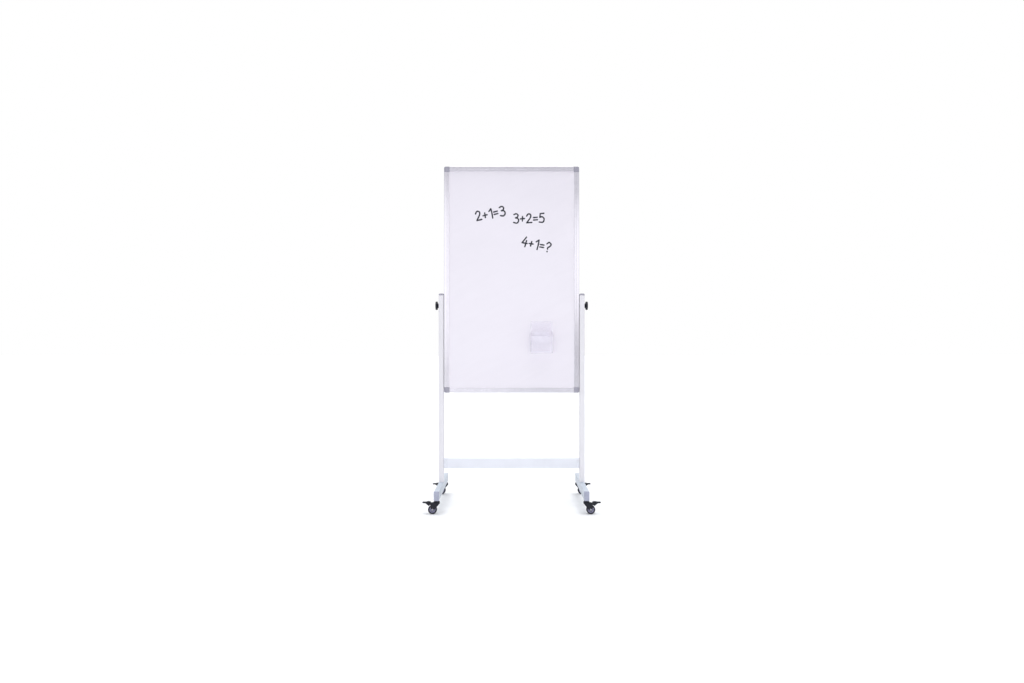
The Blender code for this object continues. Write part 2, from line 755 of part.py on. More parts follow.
def make_wheel(spin, name, finish):
    """Tyre and hub, measured from the axle."""
    half = WHEEL_WIDTH / 2
    tyre = [
        (RIM_RADIUS, half - TYRE_SHOULDER / 4),
        (WHEEL_RADIUS - 0.75 * TYRE_SHOULDER, half),
        (WHEEL_RADIUS, half - TYRE_SHOULDER),
    ]
    tyre += [(r, -y) for r, y in reversed(tyre)]
    turned(name + "_tyre", "Y", (0, 0, 0), tyre, WHEEL_SIDES, finish["tyre_rubber"], spin)
    bore = AXLE_RADIUS + RUNNING
    hub = [
        (bore, half + HUB_BOSS_PROUD),
        (HUB_BOSS_RADIUS, half + HUB_BOSS_PROUD),
        (HUB_BOSS_RADIUS + HUB_DISH / 2, half - HUB_DISH),
        (RIM_RADIUS - HUB_DISH, half - HUB_DISH),
        (RIM_RADIUS - GAP, half - 0.4 * HUB_DISH),
    ]
    hub += [(r, -y) for r, y in reversed(hub)]
    turned(name + "_hub", "Y", (0, 0, 0), hub, ROUND, finish["hub_plastic"], spin)


def pedal_outline():
    """The brake pedal from the side: a shoe over the wheel, a hood and a toe tab."""
    wheel = (CASTER_TRAIL, WHEEL_RADIUS)
    shoe = arc(wheel, BRAKE_SHOE_RADIUS, *BRAKE_SHOE_ANGLES, 2 * CORNER_STEPS)
    inner = (CASTER_TRAIL, FORK_BASE - 4 * GAP)
    return shoe + [inner, *PEDAL_HOOD, *PEDAL_TAB, *PEDAL_UNDERSIDE]


def make_brake(pedal_axis, name, finish):
    """The pedal and its hinge pin, measured from the pin."""
    outline = [(x - BRAKE_PIVOT[0], z - BRAKE_PIVOT[1]) for x, z in pedal_outline()]
    black = finish["black_plastic"]
    half = BRAKE_HALF_WIDTH
    pedal = prism(name + "_brake_pedal", "Y", outline, -half, half, black, pedal_axis)
    reach = FORK_INNER + FORK_LEG - GAP
    hinge_pin = pin(
        name + "_brake_pin",
        "Y",
        (0, 0, 0),
        BRAKE_PIN_RADIUS,
        -reach,
        reach,
        PIN_SIDES,
        None,
        pedal_axis,
    )
    combine(pedal, hinge_pin, "UNION")


def make_caster(stand, finish, name, x, y):
    turn = 0.0 if x > 0 else math.pi
    corner = axis_empty(name + "_place", (x, y, 0), stand, turn)
    make_stem(corner, name, finish)
    swivel = axis_empty(name + "_swivel", (0, 0, 0), corner)
    make_fork(swivel, name, finish)
    make_axle(swivel, name, finish)
    spin = axis_empty(name + "_spin", (CASTER_TRAIL, 0, WHEEL_RADIUS), swivel)
    make_wheel(spin, name, finish)
    brake = axis_empty(name + "_brake", (BRAKE_PIVOT[0], 0, BRAKE_PIVOT[1]), swivel)
    make_brake(brake, name, finish)


# ---------------------------------------------------------------- the whole whiteboard


def make_board(stand, finish):
    board = axis_empty("board_tilt", (0, 0, PIVOT_HEIGHT), stand)
    make_panel(board, finish)
    make_rails(board, finish)
    make_corner_caps(board, finish)
    make_pivot(board, finish, "left", -1)
    make_pivot(board, finish, "right", 1)
    make_marker_holder(board, finish)


def main():
    clear_scene()
    finish = make_materials()
    stand = axis_empty("rolling_whiteboard", (0, 0, 0))
    for side, x in (("left", -POST_CENTRE), ("right", POST_CENTRE)):
        make_post(stand, finish, side, x)
        make_foot(stand, finish, side, x)
        for place, y in (("front", -CASTER_SPACING / 2), ("rear", CASTER_SPACING / 2)):
            make_caster(stand, finish, f"caster_{place}_{side}", x, y)
    make_crossbar(stand, finish)
    make_board(stand, finish)


main()
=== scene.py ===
"""The looks of the rolling whiteboard: finer pieces, materials, ink, light, floor and camera.

Lengths are in metres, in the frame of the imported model: X to the right, -Y towards whoever reads
the board, Z up from the floor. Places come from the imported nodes' own boxes.
"""

import json
import math
import random

import bmesh
import bpy
from mathutils import Matrix, Vector

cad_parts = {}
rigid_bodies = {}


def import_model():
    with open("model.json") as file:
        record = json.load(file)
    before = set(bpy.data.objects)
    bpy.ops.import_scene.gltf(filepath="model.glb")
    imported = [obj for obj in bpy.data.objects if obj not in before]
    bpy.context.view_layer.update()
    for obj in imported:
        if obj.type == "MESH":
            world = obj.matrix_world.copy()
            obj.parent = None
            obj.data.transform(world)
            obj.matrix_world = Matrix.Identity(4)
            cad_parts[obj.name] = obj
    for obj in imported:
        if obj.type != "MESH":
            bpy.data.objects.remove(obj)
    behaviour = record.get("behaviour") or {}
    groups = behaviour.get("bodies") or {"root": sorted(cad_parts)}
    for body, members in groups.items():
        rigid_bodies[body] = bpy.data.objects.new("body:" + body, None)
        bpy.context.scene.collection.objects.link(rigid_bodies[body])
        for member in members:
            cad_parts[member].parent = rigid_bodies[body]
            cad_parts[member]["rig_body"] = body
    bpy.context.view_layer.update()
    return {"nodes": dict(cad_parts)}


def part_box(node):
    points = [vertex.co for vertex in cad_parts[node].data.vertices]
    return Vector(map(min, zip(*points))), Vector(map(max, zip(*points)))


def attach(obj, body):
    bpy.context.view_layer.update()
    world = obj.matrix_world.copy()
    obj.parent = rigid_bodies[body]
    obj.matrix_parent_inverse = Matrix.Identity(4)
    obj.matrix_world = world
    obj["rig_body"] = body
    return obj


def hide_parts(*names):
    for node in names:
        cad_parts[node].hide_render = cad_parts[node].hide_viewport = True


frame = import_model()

NODES = frame["nodes"]
SIDES = (("left", -1), ("right", 1))
PLACES = ("front", "rear")

# Roundness of the finer pieces
FINE = 96
MEDIUM = 48
CORNER_STEPS = 8

# Board frame
GAP = 0.0003
RAIL_FACE = 0.0215
RAIL_WALL = 0.0013
RAIL_STEP = 0.013
RAIL_SEAM = 0.0010  # width and depth of the seam between a rail's raised band and its inner lip
RAIL_LIP = 0.0092
RAIL_HOLLOW = 0.008
CORNER_RADIUS = 0.007
CORNER_SIDE = 0.024
CORNER_SOFT = 0.0012
CORNER_TONGUE = 0.015  # how far a corner cap's tongues reach into the rails
PANEL_INSET = 0.009

# Stand
TUBE_WALL = 0.0015
TUBE_RADIUS = 0.003
TUBE_SOFT = 0.00025
CAP_THICKNESS = 0.003
CAP_SOFT = 0.0015
BRACKET_SOFT = 0.0005
DOME_HEIGHT = 0.0085
DOME_STRAIGHT = 0.3  # share of a post cap's height that keeps the post's outline
DOME_SHRINK = (0.012, 0.020)  # how much narrower and shorter the cap is at its top

# Pivot
KNOB_LOBES = 6
KNOB_LOBE = 0.0025
KNOB_BORE = 0.0065  # radius, round the threaded insert
INSERT_RADIUS = 0.0062
BOLT_RADIUS = 0.004
BOLT_HEAD_RADIUS = 0.0065
BOLT_HEAD_LENGTH = 0.005
BOLT_HEAD_FACE = 0.0045  # radius of the head's flat face
BOLT_POINT = 0.0006
RING_RADIUS = 0.009  # of the spacers and washers
RING_BORE = 0.0041

# Casters, measured from the swivel axis with the wheel trailing towards +X
CASTER_TRAIL = 0.018
WHEEL_RADIUS = 0.019
WHEEL_HALF = 0.0085
RIM_RADIUS = 0.013
HUB_RIBS = 6
FORK_BASE = 0.044
FORK_INNER = 0.0092
FORK_LEG = 0.002
FORK_PLATE = 0.0025
AXLE_RADIUS = 0.003
BRAKE_PIVOT = (0.0215, 0.041)
BRAKE_HALF_WIDTH = 0.0084
BRAKE_PIN_RADIUS = 0.0020
SHOE_RADIUS = 0.022
SHAFT_BORE = 0.0041  # radius of the hole for the stem

# Marker holder
HOLDER_WALL = 0.002
HOLDER_RIMS = (0.777, 0.752)  # height of the pocket's rim at the board and in front
HOLDER_WIDTHS = (0.0995, 0.108)  # of the pocket's front, at its bottom and at its rim
HOLDER_DEPTHS = (0.033, 0.041)
HOLDER_CORNER = 0.009
HOLDER_SOFT = 0.002
PLATE_WIDTH = 0.097
PLATE_CORNER = 0.004
PLATE_SOFT = 0.0007

# Studio
CAMERA_PLACE = (0.0016, -3.9, 0.729)
CAMERA_LENS = 30.43
CAMERA_SENSOR = 36.0
CAMERA_REACH = 200.0
LIGHT_WALL = -4.1  # of the lights that the frame mirrors
FLOOR_END = 40.0
FLOOR_FRONT = -5.0
FLOOR_THICKNESS = 0.05
FLOOR_TOP = -0.0001


# ---------------------------------------------------------------- shapes


def arc(centre, radius, start, end, steps):
    """Points on a circle, from one angle in degrees to another."""
    angles = [math.radians(start + (end - start) * i / steps) for i in range(steps + 1)]
    return [Vector((centre[0] + radius * math.cos(a), centre[1] + radius * math.sin(a))) for a in angles]


def rounded_rectangle(width, height, radius, steps=CORNER_STEPS):
    """The outline of a centred rectangle with rounded corners."""
    x = width / 2 - radius
    y = height / 2 - radius
    points = []
    for centre, start in (((x, y), 0), ((-x, y), 90), ((-x, -y), 180), ((x, -y), 270)):
        points += arc(centre, radius, start, start + 90, steps)
    return points


def filleted(points, radii, steps=4, closed=True):
    """Rounds the corners of a line of points. Radii is one number, or one for each point."""
    if not isinstance(radii, (list, tuple)):
        radii = [radii] * len(points)
    line = [Vector(point) for point in points]
    last = len(line) - 1
    nearly_straight = math.radians(80)
    rounded = []
    for i, corner in enumerate(line):
        if not closed and i in (0, last):
            rounded.append(corner)
            continue
        before = line[i - 1] - corner
        after = line[(i + 1) % len(line)] - corner
        half = before.angle(after) / 2
        if radii[i] == 0 or half > nearly_straight:
            rounded.append(corner)
            continue
        reach = min(radii[i] / math.tan(half), 0.48 * before.length, 0.48 * after.length)
        start = before.normalized() * reach
        end = after.normalized() * reach
        centre = (start + end).normalized() * reach / math.cos(half)
        first = start - centre
        final = end - centre
        turn = first.angle(final)
        for k in range(steps + 1):
            share = k / steps
            spoke = first * math.sin((1 - share) * turn) + final * math.sin(share * turn)
            rounded.append(corner + centre + spoke / math.sin(turn))
    return rounded


def inset(outline, distance):
    """A closed outline moved inward by a distance."""
    pairs = list(zip(outline, outline[1:] + outline[:1]))
    turning = 1 if sum(a.x * b.y - b.x * a.y for a, b in pairs) > 0 else -1
    moved = []
    for i, point in enumerate(outline):
        before = (point - outline[i - 1]).normalized()
        after = (outline[(i + 1) % len(outline)] - point).normalized()
        normal = turning * Vector((-before.y - after.y, before.x + after.x)).normalized()
        squareness = max(normal.dot(turning * Vector((-after.y, after.x))), 0.5)
        moved.append(point + normal * distance / squareness)
    return moved


def along(axis, outline, position):
    """A flat outline as a ring of 3-D points that crosses the given axis at a position."""
    if axis == "X":
        return [Vector((position, a, b)) for a, b in outline]
    if axis == "Y":
        return [Vector((a, position, b)) for a, b in outline]
    return [Vector((a, b, position)) for a, b in outline]


def loft(name, rings, closed=False):
    """A skin through rings of points. Closed, it runs back to the first ring, as a tube's walls do."""
    bm = bmesh.new()
    loops = [[bm.verts.new(point) for point in ring] for ring in rings]
    pairs = list(zip(loops, loops[1:]))
    if closed:
        pairs.append((loops[-1], loops[0]))
    else:
        bm.faces.new(loops[0])
        bm.faces.new(loops[-1])
    count = len(loops[0])
    for low, high in pairs:
        for i in range(count):
            j = (i + 1) % count
            bm.faces.new((low[i], low[j], high[j], high[i]))
    bmesh.ops.remove_doubles(bm, verts=bm.verts, dist=1e-6)
    bmesh.ops.recalc_face_normals(bm, faces=bm.faces)
    mesh = bpy.data.meshes.new(name)
    bm.to_mesh(mesh)
    bm.free()
    obj = bpy.data.objects.new(name, mesh)
    bpy.context.scene.collection.objects.link(obj)
    return obj


def slab(name, axis, outline, low, high, soft, steps=3):
    """An outline given a thickness, with both of its rims rounded."""
    rings = []
    for k in range(steps + 1):
        angle = math.pi / 2 * k / steps
        ring = inset(outline, soft * (1 - math.sin(angle)))
        rings.append((ring, low + soft * (1 - math.cos(angle))))
    rings += [(ring, low + high - at) for ring, at in reversed(rings)]
    return loft(name, [along(axis, ring, at) for ring, at in rings])


def spun(name, axis, centre, stations, sides, hollow=False):
    """A skin round an axis through stations of (radius, position). Either may depend on the angle."""
    rings = []
    for radius, position in stations:
        outline = []
        shifts = []
        for i in range(sides):
            angle = 2 * math.pi * i / sides
            r = radius(angle) if callable(radius) else radius
            outline.append((r * math.sin(angle), r * math.cos(angle)))
            shifts.append(position(angle) if callable(position) else position)
        rings.append([along(axis, [p], at)[0] + Vector(centre) for p, at in zip(outline, shifts)])
    return loft(name, rings, closed=hollow)


def carve(target, tool, operation):
    """Joins a tool to the target, or cuts it out, and removes the tool."""
    modifier = target.modifiers.new("carve", "BOOLEAN")
    modifier.operation = operation
    modifier.solver = "EXACT"
    modifier.object = tool
    bpy.context.view_layer.update()
    evaluated = target.evaluated_get(bpy.context.evaluated_depsgraph_get())
    mesh = bpy.data.meshes.new_from_object(evaluated)
    target.modifiers.clear()
    target.data = mesh
    bpy.data.objects.remove(tool, do_unlink=True)


def drill(target, axis, centre, radius, reach):
    """A round hole through the target, along an axis."""
    tool = spun("drill", axis, centre, [(radius, -reach), (radius, reach)], MEDIUM)
    carve(target, tool, "DIFFERENCE")


def middle(node):
    low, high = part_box(node)
    return (low + high) / 2


def span(node, axis="x"):
    """How far out along an axis a node starts and ends."""
    return sorted(abs(getattr(corner, axis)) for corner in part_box(node))


# ---------------------------------------------------------------- putting pieces on the model


def smooth(obj, angle=40):
    """Smooth shading that keeps flat faces flat and sharp edges sharp."""
    obj.data.shade_smooth()
    obj.data.set_sharp_from_angle(angle=math.radians(angle))
    modifier = obj.modifiers.new("weighted", "WEIGHTED_NORMAL")
    modifier.keep_sharp = True


def stand_in(obj, node, material=None):
    """Puts a finished piece in the place of a CAD node, on its body and with its finish."""
    cad = NODES[node]
    slot = cad.data.materials[0].name
    obj.name = node + "_finished"
    obj.data.name = obj.name
    obj.data.materials.clear()
    obj.data.materials.append(material or FINISH[slot])
    smooth(obj)
    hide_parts(node)
    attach(obj, cad["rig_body"])


def dress(node, material=None):
    """A new material on a CAD node whose shape is already right."""
    cad = NODES[node]
    cad.data.materials[0] = material or FINISH[cad.data.materials[0].name]


# ---------------------------------------------------------------- materials


def add_node(tree, kind, sockets=None, **settings):
    """A new node. A socket takes a value, or another node's output."""
    made = tree.nodes.new(kind)
    for setting, value in settings.items():
        setattr(made, setting, value)
    for socket, value in (sockets or {}).items():
        if isinstance(value, bpy.types.NodeSocket):
            tree.links.new(value, made.inputs[socket])
        else:
            made.inputs[socket].default_value = value
    return made


def ramp(tree, value, stops):
    """Colours by a value, from (position, colour) stops."""
    made = add_node(tree, "ShaderNodeValToRGB", {"Fac": value})
    elements = made.color_ramp.elements
    while len(elements) < len(stops):
        elements.new(1.0)
    for element, (position, colour) in zip(elements, stops):
        element.position = position
        element.color = (*colour, 1.0)
    return made.outputs["Color"]


def scaled(colour, factor):
    return tuple(channel * factor for channel in colour)


class Surface:
    """A Principled material whose colour, roughness and relief come from noise."""

    def __init__(self, name, metallic=0.0, **uniform):
        self.material = bpy.data.materials.new(name)
        self.material.use_nodes = True
        self.tree = self.material.node_tree
        self.shader = self.tree.nodes["Principled BSDF"]
        self.shader.inputs["Metallic"].default_value = metallic
        for socket, value in uniform.items():
            self.shader.inputs[socket.replace("_", " ")].default_value = value
        self.place = add_node(self.tree, "ShaderNodeTexCoord").outputs["Object"]

    def stretched(self, scale, turn=(0, 0, 0)):
        """The place on the piece, with each axis scaled, and turned first if need be."""
        turned = self.place
        if any(turn):
            sockets = {"Vector": turned, "Rotation": [math.radians(a) for a in turn]}
            turned = add_node(self.tree, "ShaderNodeMapping", sockets).outputs["Vector"]
        sockets = {"Vector": turned, "Scale": scale}
        return add_node(self.tree, "ShaderNodeMapping", sockets).outputs["Vector"]

    def noise(self, scale, detail=3.0, where=None, distortion=0.0):
        sockets = {"Vector": where or self.place, "Scale": scale, "Detail": detail, "Distortion": distortion}
        return add_node(self.tree, "ShaderNodeTexNoise", sockets).outputs["Fac"]

    def cells(self, scale, where=None):
        sockets = {"Vector": where or self.place, "Scale": scale}
        return add_node(self.tree, "ShaderNodeTexVoronoi", sockets).outputs["Distance"]

    def fitted(self, value, low, high, to_low, to_high):
        """A value's range from low to high, brought to another range and held there."""
        sockets = {"Value": value, "From Min": low, "From Max": high, "To Min": to_low, "To Max": to_high}
        return add_node(self.tree, "ShaderNodeMapRange", sockets).outputs["Result"]

    def sum(self, first, second, operation="ADD"):
        made = add_node(self.tree, "ShaderNodeMath", operation=operation)
        for index, value in enumerate((first, second)):
            if isinstance(value, bpy.types.NodeSocket):
                self.tree.links.new(value, made.inputs[index])
            else:
                made.inputs[index].default_value = value
        return made.outputs["Value"]

    def colour(self, value, stops):
        self.tree.links.new(ramp(self.tree, value, stops), self.shader.inputs["Base Color"])

    def roughness(self, value, low, high):
        fitted = self.fitted(value, 0.3, 0.7, low, high)
        self.tree.links.new(fitted, self.shader.inputs["Roughness"])

    def relief(self, *layers):
        """Bumps from (height, depth in metres) layers, one on top of the other."""
        normal = None
        for height, depth in layers:
            sockets = {"Height": height, "Distance": depth, "Strength": 1.0}
            if normal:
                sockets["Normal"] = normal
            normal = add_node(self.tree, "ShaderNodeBump", sockets).outputs["Normal"]
        self.tree.links.new(normal, self.shader.inputs["Normal"])


def enamel():
    """Glossy white enamel, with the faint haze and arcs that wiping leaves."""
    surface = Surface("white_enamel_gloss", Specular_IOR_Level=0.5)
    haze = surface.noise(3.5, 5.0)
    wipes = surface.noise(1.0, 4.0, surface.stretched((4.0, 4.0, 26.0), (0, 24, 0)), 1.2)
    dust = surface.noise(700.0, 2.0)
    film = surface.sum(surface.sum(haze, 0.55, "MULTIPLY"), surface.sum(wipes, 0.45, "MULTIPLY"))
    white = (0.775, 0.742, 0.80)
    surface.colour(film, [(0.34, scaled(white, 0.985)), (0.5, white), (0.66, scaled(white, 1.012))])
    surface.roughness(film, 0.07, 0.17)
    surface.relief((surface.noise(260.0, 2.0), 0.000006), (dust, 0.000001))
    return surface.material


def aluminium(name, lengthwise):
    """Satin anodised aluminium, with fine brushing lines along X or Z."""
    surface = Surface(name, metallic=1.0)
    fine = (30.0, 3200.0, 3200.0) if lengthwise == "X" else (3200.0, 3200.0, 30.0)
    lines = surface.noise(1.0, 3.0, surface.stretched(fine))
    cloud = surface.noise(22.0, 3.0)
    both = surface.sum(surface.sum(lines, 0.7, "MULTIPLY"), surface.sum(cloud, 0.3, "MULTIPLY"))
    metal = (0.72, 0.70, 0.755)
    surface.colour(both, [(0.3, scaled(metal, 0.93)), (0.5, metal), (0.7, scaled(metal, 1.05))])
    surface.roughness(both, 0.15, 0.21)
    surface.relief((lines, 0.0000006))
    return surface.material


def moulded(name, colour, grain, depth, rough, **uniform):
    """Moulded plastic with a spark-eroded grain: its pitch per metre, and its depth."""
    surface = Surface(name, **uniform)
    mottle = surface.noise(60.0, 4.0)
    pits = surface.cells(grain)
    fine = surface.noise(grain * 1.7, 2.0)
    both = surface.sum(mottle, surface.fitted(fine, 0.3, 0.7, -0.12, 0.12))
    surface.colour(both, [(0.3, scaled(colour, 0.88)), (0.5, colour), (0.72, scaled(colour, 1.10))])
    surface.roughness(both, rough - 0.07, rough + 0.09)
    surface.relief((pits, depth), (fine, depth * 0.5))
    return surface.material


def powder_coat(name, white):
    """Powder coat with a soft orange peel, a faint speckle and a few fine scratches."""
    surface = Surface(name, Specular_IOR_Level=0.45)
    peel = surface.noise(520.0, 3.0)
    speckle = surface.noise(2600.0, 1.0)
    cloud = surface.noise(9.0, 4.0)
    scratches = surface.noise(1.0, 5.0, surface.stretched((160.0, 40.0, 160.0), (0, 35, 10)), 2.5)
    marks = surface.fitted(scratches, 0.66, 0.72, 0.0, 0.10)
    specks = surface.fitted(speckle, 0.3, 0.7, -0.03, 0.03)
    shade = surface.sum(surface.sum(cloud, marks, "SUBTRACT"), specks)
    surface.colour(shade, [(0.3, scaled(white, 0.955)), (0.48, white), (0.7, scaled(white, 1.015))])
    surface.roughness(surface.sum(peel, marks), 0.30, 0.46)
    surface.relief((peel, 0.00004), (speckle, 0.000008))
    return surface.material


def zinc():
    """Zinc-plated steel: a faint spangle and turning marks."""
    surface = Surface("zinc_plated_steel", metallic=1.0)
    spangle = surface.cells(900.0)
    marks = surface.noise(1.0, 3.0, surface.stretched((300.0, 300.0, 4200.0)))
    both = surface.sum(spangle, surface.fitted(marks, 0.3, 0.7, -0.1, 0.1))
    metal = (0.26, 0.26, 0.30)
    surface.colour(both, [(0.1, scaled(metal, 0.82)), (0.45, metal), (0.8, scaled(metal, 1.12))])
    surface.roughness(marks, 0.24, 0.42)
    surface.relief((marks, 0.00001), (spangle, 0.000006))
    return surface.material


def rubber():
    """Dark thermoplastic rubber, dusty where it has rolled."""
    surface = Surface("tyre_rubber_dusty", Specular_IOR_Level=0.3)
    dust = surface.noise(130.0, 5.0)
    grain = surface.noise(2400.0, 2.0)
    black = (0.030, 0.030, 0.042)
    surface.colour(dust, [(0.35, scaled(black, 0.8)), (0.55, black), (0.75, scaled(black, 1.9))])
    surface.roughness(dust, 0.55, 0.8)
    surface.relief((grain, 0.00003), (dust, 0.00006))
    return surface.material


def clear_plastic():
    """Clear plastic with a slight milky frost, and faint flow marks from its moulding."""
    surface = Surface("clear_plastic_frosted", Alpha=0.25, IOR=1.49)
    flow = surface.noise(1.0, 4.0, surface.stretched((30.0, 30.0, 7.0)), 1.5)
    haze = surface.noise(900.0, 2.0)
    frost = (0.95, 0.915, 1.0)
    both = surface.sum(flow, surface.fitted(haze, 0.3, 0.7, -0.03, 0.03))
    surface.colour(both, [(0.3, scaled(frost, 0.97)), (0.5, frost), (0.7, scaled(frost, 1.0))])
    surface.roughness(flow, 0.16, 0.28)
    surface.relief((flow, 0.00002), (haze, 0.000003))
    return surface.material


def cardboard():
    """The panel's honeycomb board, brown and fibrous."""
    surface = Surface("honeycomb_board_fibre", Specular_IOR_Level=0.2)
    fibres = surface.noise(1.0, 5.0, surface.stretched((900.0, 120.0, 220.0)))
    brown = (0.42, 0.30, 0.19)
    surface.colour(fibres, [(0.3, scaled(brown, 0.75)), (0.5, brown), (0.7, scaled(brown, 1.2))])
    surface.roughness(fibres, 0.8, 0.95)
    surface.relief((fibres, 0.0001))
    return surface.material


def marker_ink():
    """Dry marker ink, with the streaks that the felt tip leaves."""
    surface = Surface("marker_ink_dry", Specular_IOR_Level=0.4)
    streaks = surface.noise(1.0, 4.0, surface.stretched((900.0, 900.0, 260.0), (0, 20, 0)))
    pool = surface.noise(240.0, 3.0)
    both = surface.sum(surface.sum(streaks, 0.5, "MULTIPLY"), surface.sum(pool, 0.5, "MULTIPLY"))
    ink = (0.020, 0.020, 0.032)
    surface.colour(both, [(0.35, scaled(ink, 0.6)), (0.55, ink), (0.75, scaled(ink, 2.6))])
    surface.roughness(streaks, 0.35, 0.6)
    surface.relief((streaks, 0.00001))
    return surface.material


def pale_floor():
    surface = Surface("studio_floor", Specular_IOR_Level=0.2)
    cloud = surface.noise(0.8, 3.0)
    white = (0.83, 0.83, 0.835)
    surface.colour(cloud, [(0.3, scaled(white, 0.995)), (0.7, white)])
    surface.roughness(cloud, 0.7, 0.8)
    surface.relief((surface.noise(90.0, 2.0), 0.00002))
    return surface.material


# The feet's coat is the white powder coat made darker and bluer: painted shade for the feet's dim sides.
FOOT_COAT_PAINTED_SHADE = powder_coat("powder_coat_on_feet_painted_shade", (0.48, 0.53, 0.60))
# The crossbar's coat is the white powder coat made lighter and bluer: painted light.
CROSSBAR_COAT_PAINTED_LIGHT = powder_coat("powder_coat_on_crossbar_painted_light", (0.745, 0.76, 0.82))
# The foot end caps are the grey plastic made lighter and bluer: painted cool light at the feet.
FOOT_CAP_PAINTED_COOL_LIGHT = moulded("grey_plastic_grain_painted_cool_light", (0.33, 0.345, 0.44), 1500.0, 0.000025, 0.40)
RAIL_METAL = {"X": aluminium("aluminium_along_x", "X"), "Z": aluminium("aluminium_along_z", "Z")}

FINISH = {
    "white_enamel": enamel(),
    "honeycomb_board": cardboard(),
    "brushed_aluminium": RAIL_METAL["X"],
    "grey_plastic": moulded("grey_plastic_grain", (0.315, 0.305, 0.365), 1500.0, 0.000025, 0.42),
    "white_powder_coat": powder_coat("white_powder_coat_satin", (0.715, 0.70, 0.735)),
    "white_plastic": moulded("white_plastic_grain", (0.745, 0.76, 0.82), 1800.0, 0.000015, 0.40),
    "zinc_steel": zinc(),
    "black_plastic": moulded(
        "black_nylon_grain", (0.007, 0.008, 0.014), 1300.0, 0.00003, 0.44, Specular_IOR_Level=0.26
    ),
    "tyre_rubber": rubber(),
    "hub_plastic": moulded("lavender_hub_plastic", (0.24, 0.23, 0.35), 2000.0, 0.000015, 0.32),
    "nylon": moulded("natural_nylon", (0.74, 0.74, 0.77), 1700.0, 0.00001, 0.38, Subsurface_Weight=0.1),
    "clear_plastic": clear_plastic(),
    "white_magnet": moulded("white_magnet_sheet", (0.83, 0.81, 0.88), 2500.0, 0.00002, 0.5),
}


# ---------------------------------------------------------------- board


def rail_section(depth):
    """A rail's cross-section: inward from the board's edge, and front to back. Its corners are rounded."""
    face = depth / 2
    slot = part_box("writing_surface_back")[1].y + GAP
    hollow = face - RAIL_WALL
    seam_floor = RAIL_LIP - RAIL_SEAM
    seam_end = RAIL_STEP + RAIL_SEAM
    front = [
        (0, -face, 0.0012),
        (RAIL_STEP, -face, 0.0006),
        (RAIL_STEP + 0.0001, -seam_floor, 0.0001),
        (seam_end, -seam_floor, 0.0001),
        (seam_end + 0.0001, -RAIL_LIP, 0.0003),
        (RAIL_FACE, -RAIL_LIP, 0.0006),
        (RAIL_FACE, -slot, 0.0003),
        (RAIL_HOLLOW, -slot, 0),
        (RAIL_HOLLOW, -hollow, 0.0003),
        (RAIL_WALL, -hollow, 0.0003),
    ]
    whole = front + [(inward, -y, radius) for inward, y, radius in reversed(front)]
    return filleted([(inward, y) for inward, y, _ in whole], [radius for _, _, radius in whole])


def make_rails():
    for name in ("left", "right"):
        low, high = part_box("frame_rail_" + name)
        edge, inward = (low.x, 1) if name == "left" else (high.x, -1)
        outline = [(edge + inward * u, v) for u, v in rail_section(high.y - low.y)]
        rail = loft(name, [along("Z", outline, low.z), along("Z", outline, high.z)])
        centre = (edge, 0, middle("pivot_bolt_" + name).z)
        drill(rail, "X", centre, BOLT_RADIUS + GAP, 2 * RAIL_WALL)
        stand_in(rail, "frame_rail_" + name, RAIL_METAL["Z"])
    for name in ("bottom", "top"):
        low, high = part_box("frame_rail_" + name)
        edge, inward = (low.z, 1) if name == "bottom" else (high.z, -1)
        outline = [(v, edge + inward * u) for u, v in rail_section(high.y - low.y)]
        rail = loft(name, [along("X", outline, low.x), along("X", outline, high.x)])
        stand_in(rail, "frame_rail_" + name, RAIL_METAL["X"])


def make_corner_caps():
    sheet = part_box("writing_surface_back")[1].y + GAP
    reach = CORNER_SIDE + CORNER_TONGUE
    for side, across in SIDES:
        for level, up in (("bottom", -1), ("top", 1)):
            node = f"corner_cap_{level}_{side}"
            low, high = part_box(node)
            corner = Vector((low.x if across < 0 else high.x, low.z if up < 0 else high.z))

            def placed(points):
                return [corner + Vector((-across * u, -up * v)) for u, v in points]

            rounding = arc((CORNER_RADIUS, CORNER_RADIUS), CORNER_RADIUS, 180, 270, 12)
            face = rounding + [(CORNER_SIDE, 0), (CORNER_SIDE, CORNER_SIDE), (0, CORNER_SIDE)]
            face = filleted(placed(face), CORNER_SOFT + 0.0003)
            cap = slab(node, "Y", face, low.y, high.y, CORNER_SOFT, 4)

            near = RAIL_WALL + GAP
            far = RAIL_HOLLOW - GAP
            bend = [(near, near), (reach, near), (reach, far), (far, far), (far, reach), (near, reach)]
            depth = high.y - 0.0005 - RAIL_WALL - GAP
            tongues = slab("tongues", "Y", filleted(placed(bend), 0.0008), -depth, depth, 0.0004)
            carve(cap, tongues, "UNION")
            start = PANEL_INSET - GAP
            end = reach + GAP
            opening = placed([(start, start), (end, start), (end, end), (start, end)])
            slot = loft("slot", [along("Y", opening, -sheet), along("Y", opening, sheet)])
            carve(cap, slot, "DIFFERENCE")
            stand_in(cap, node)


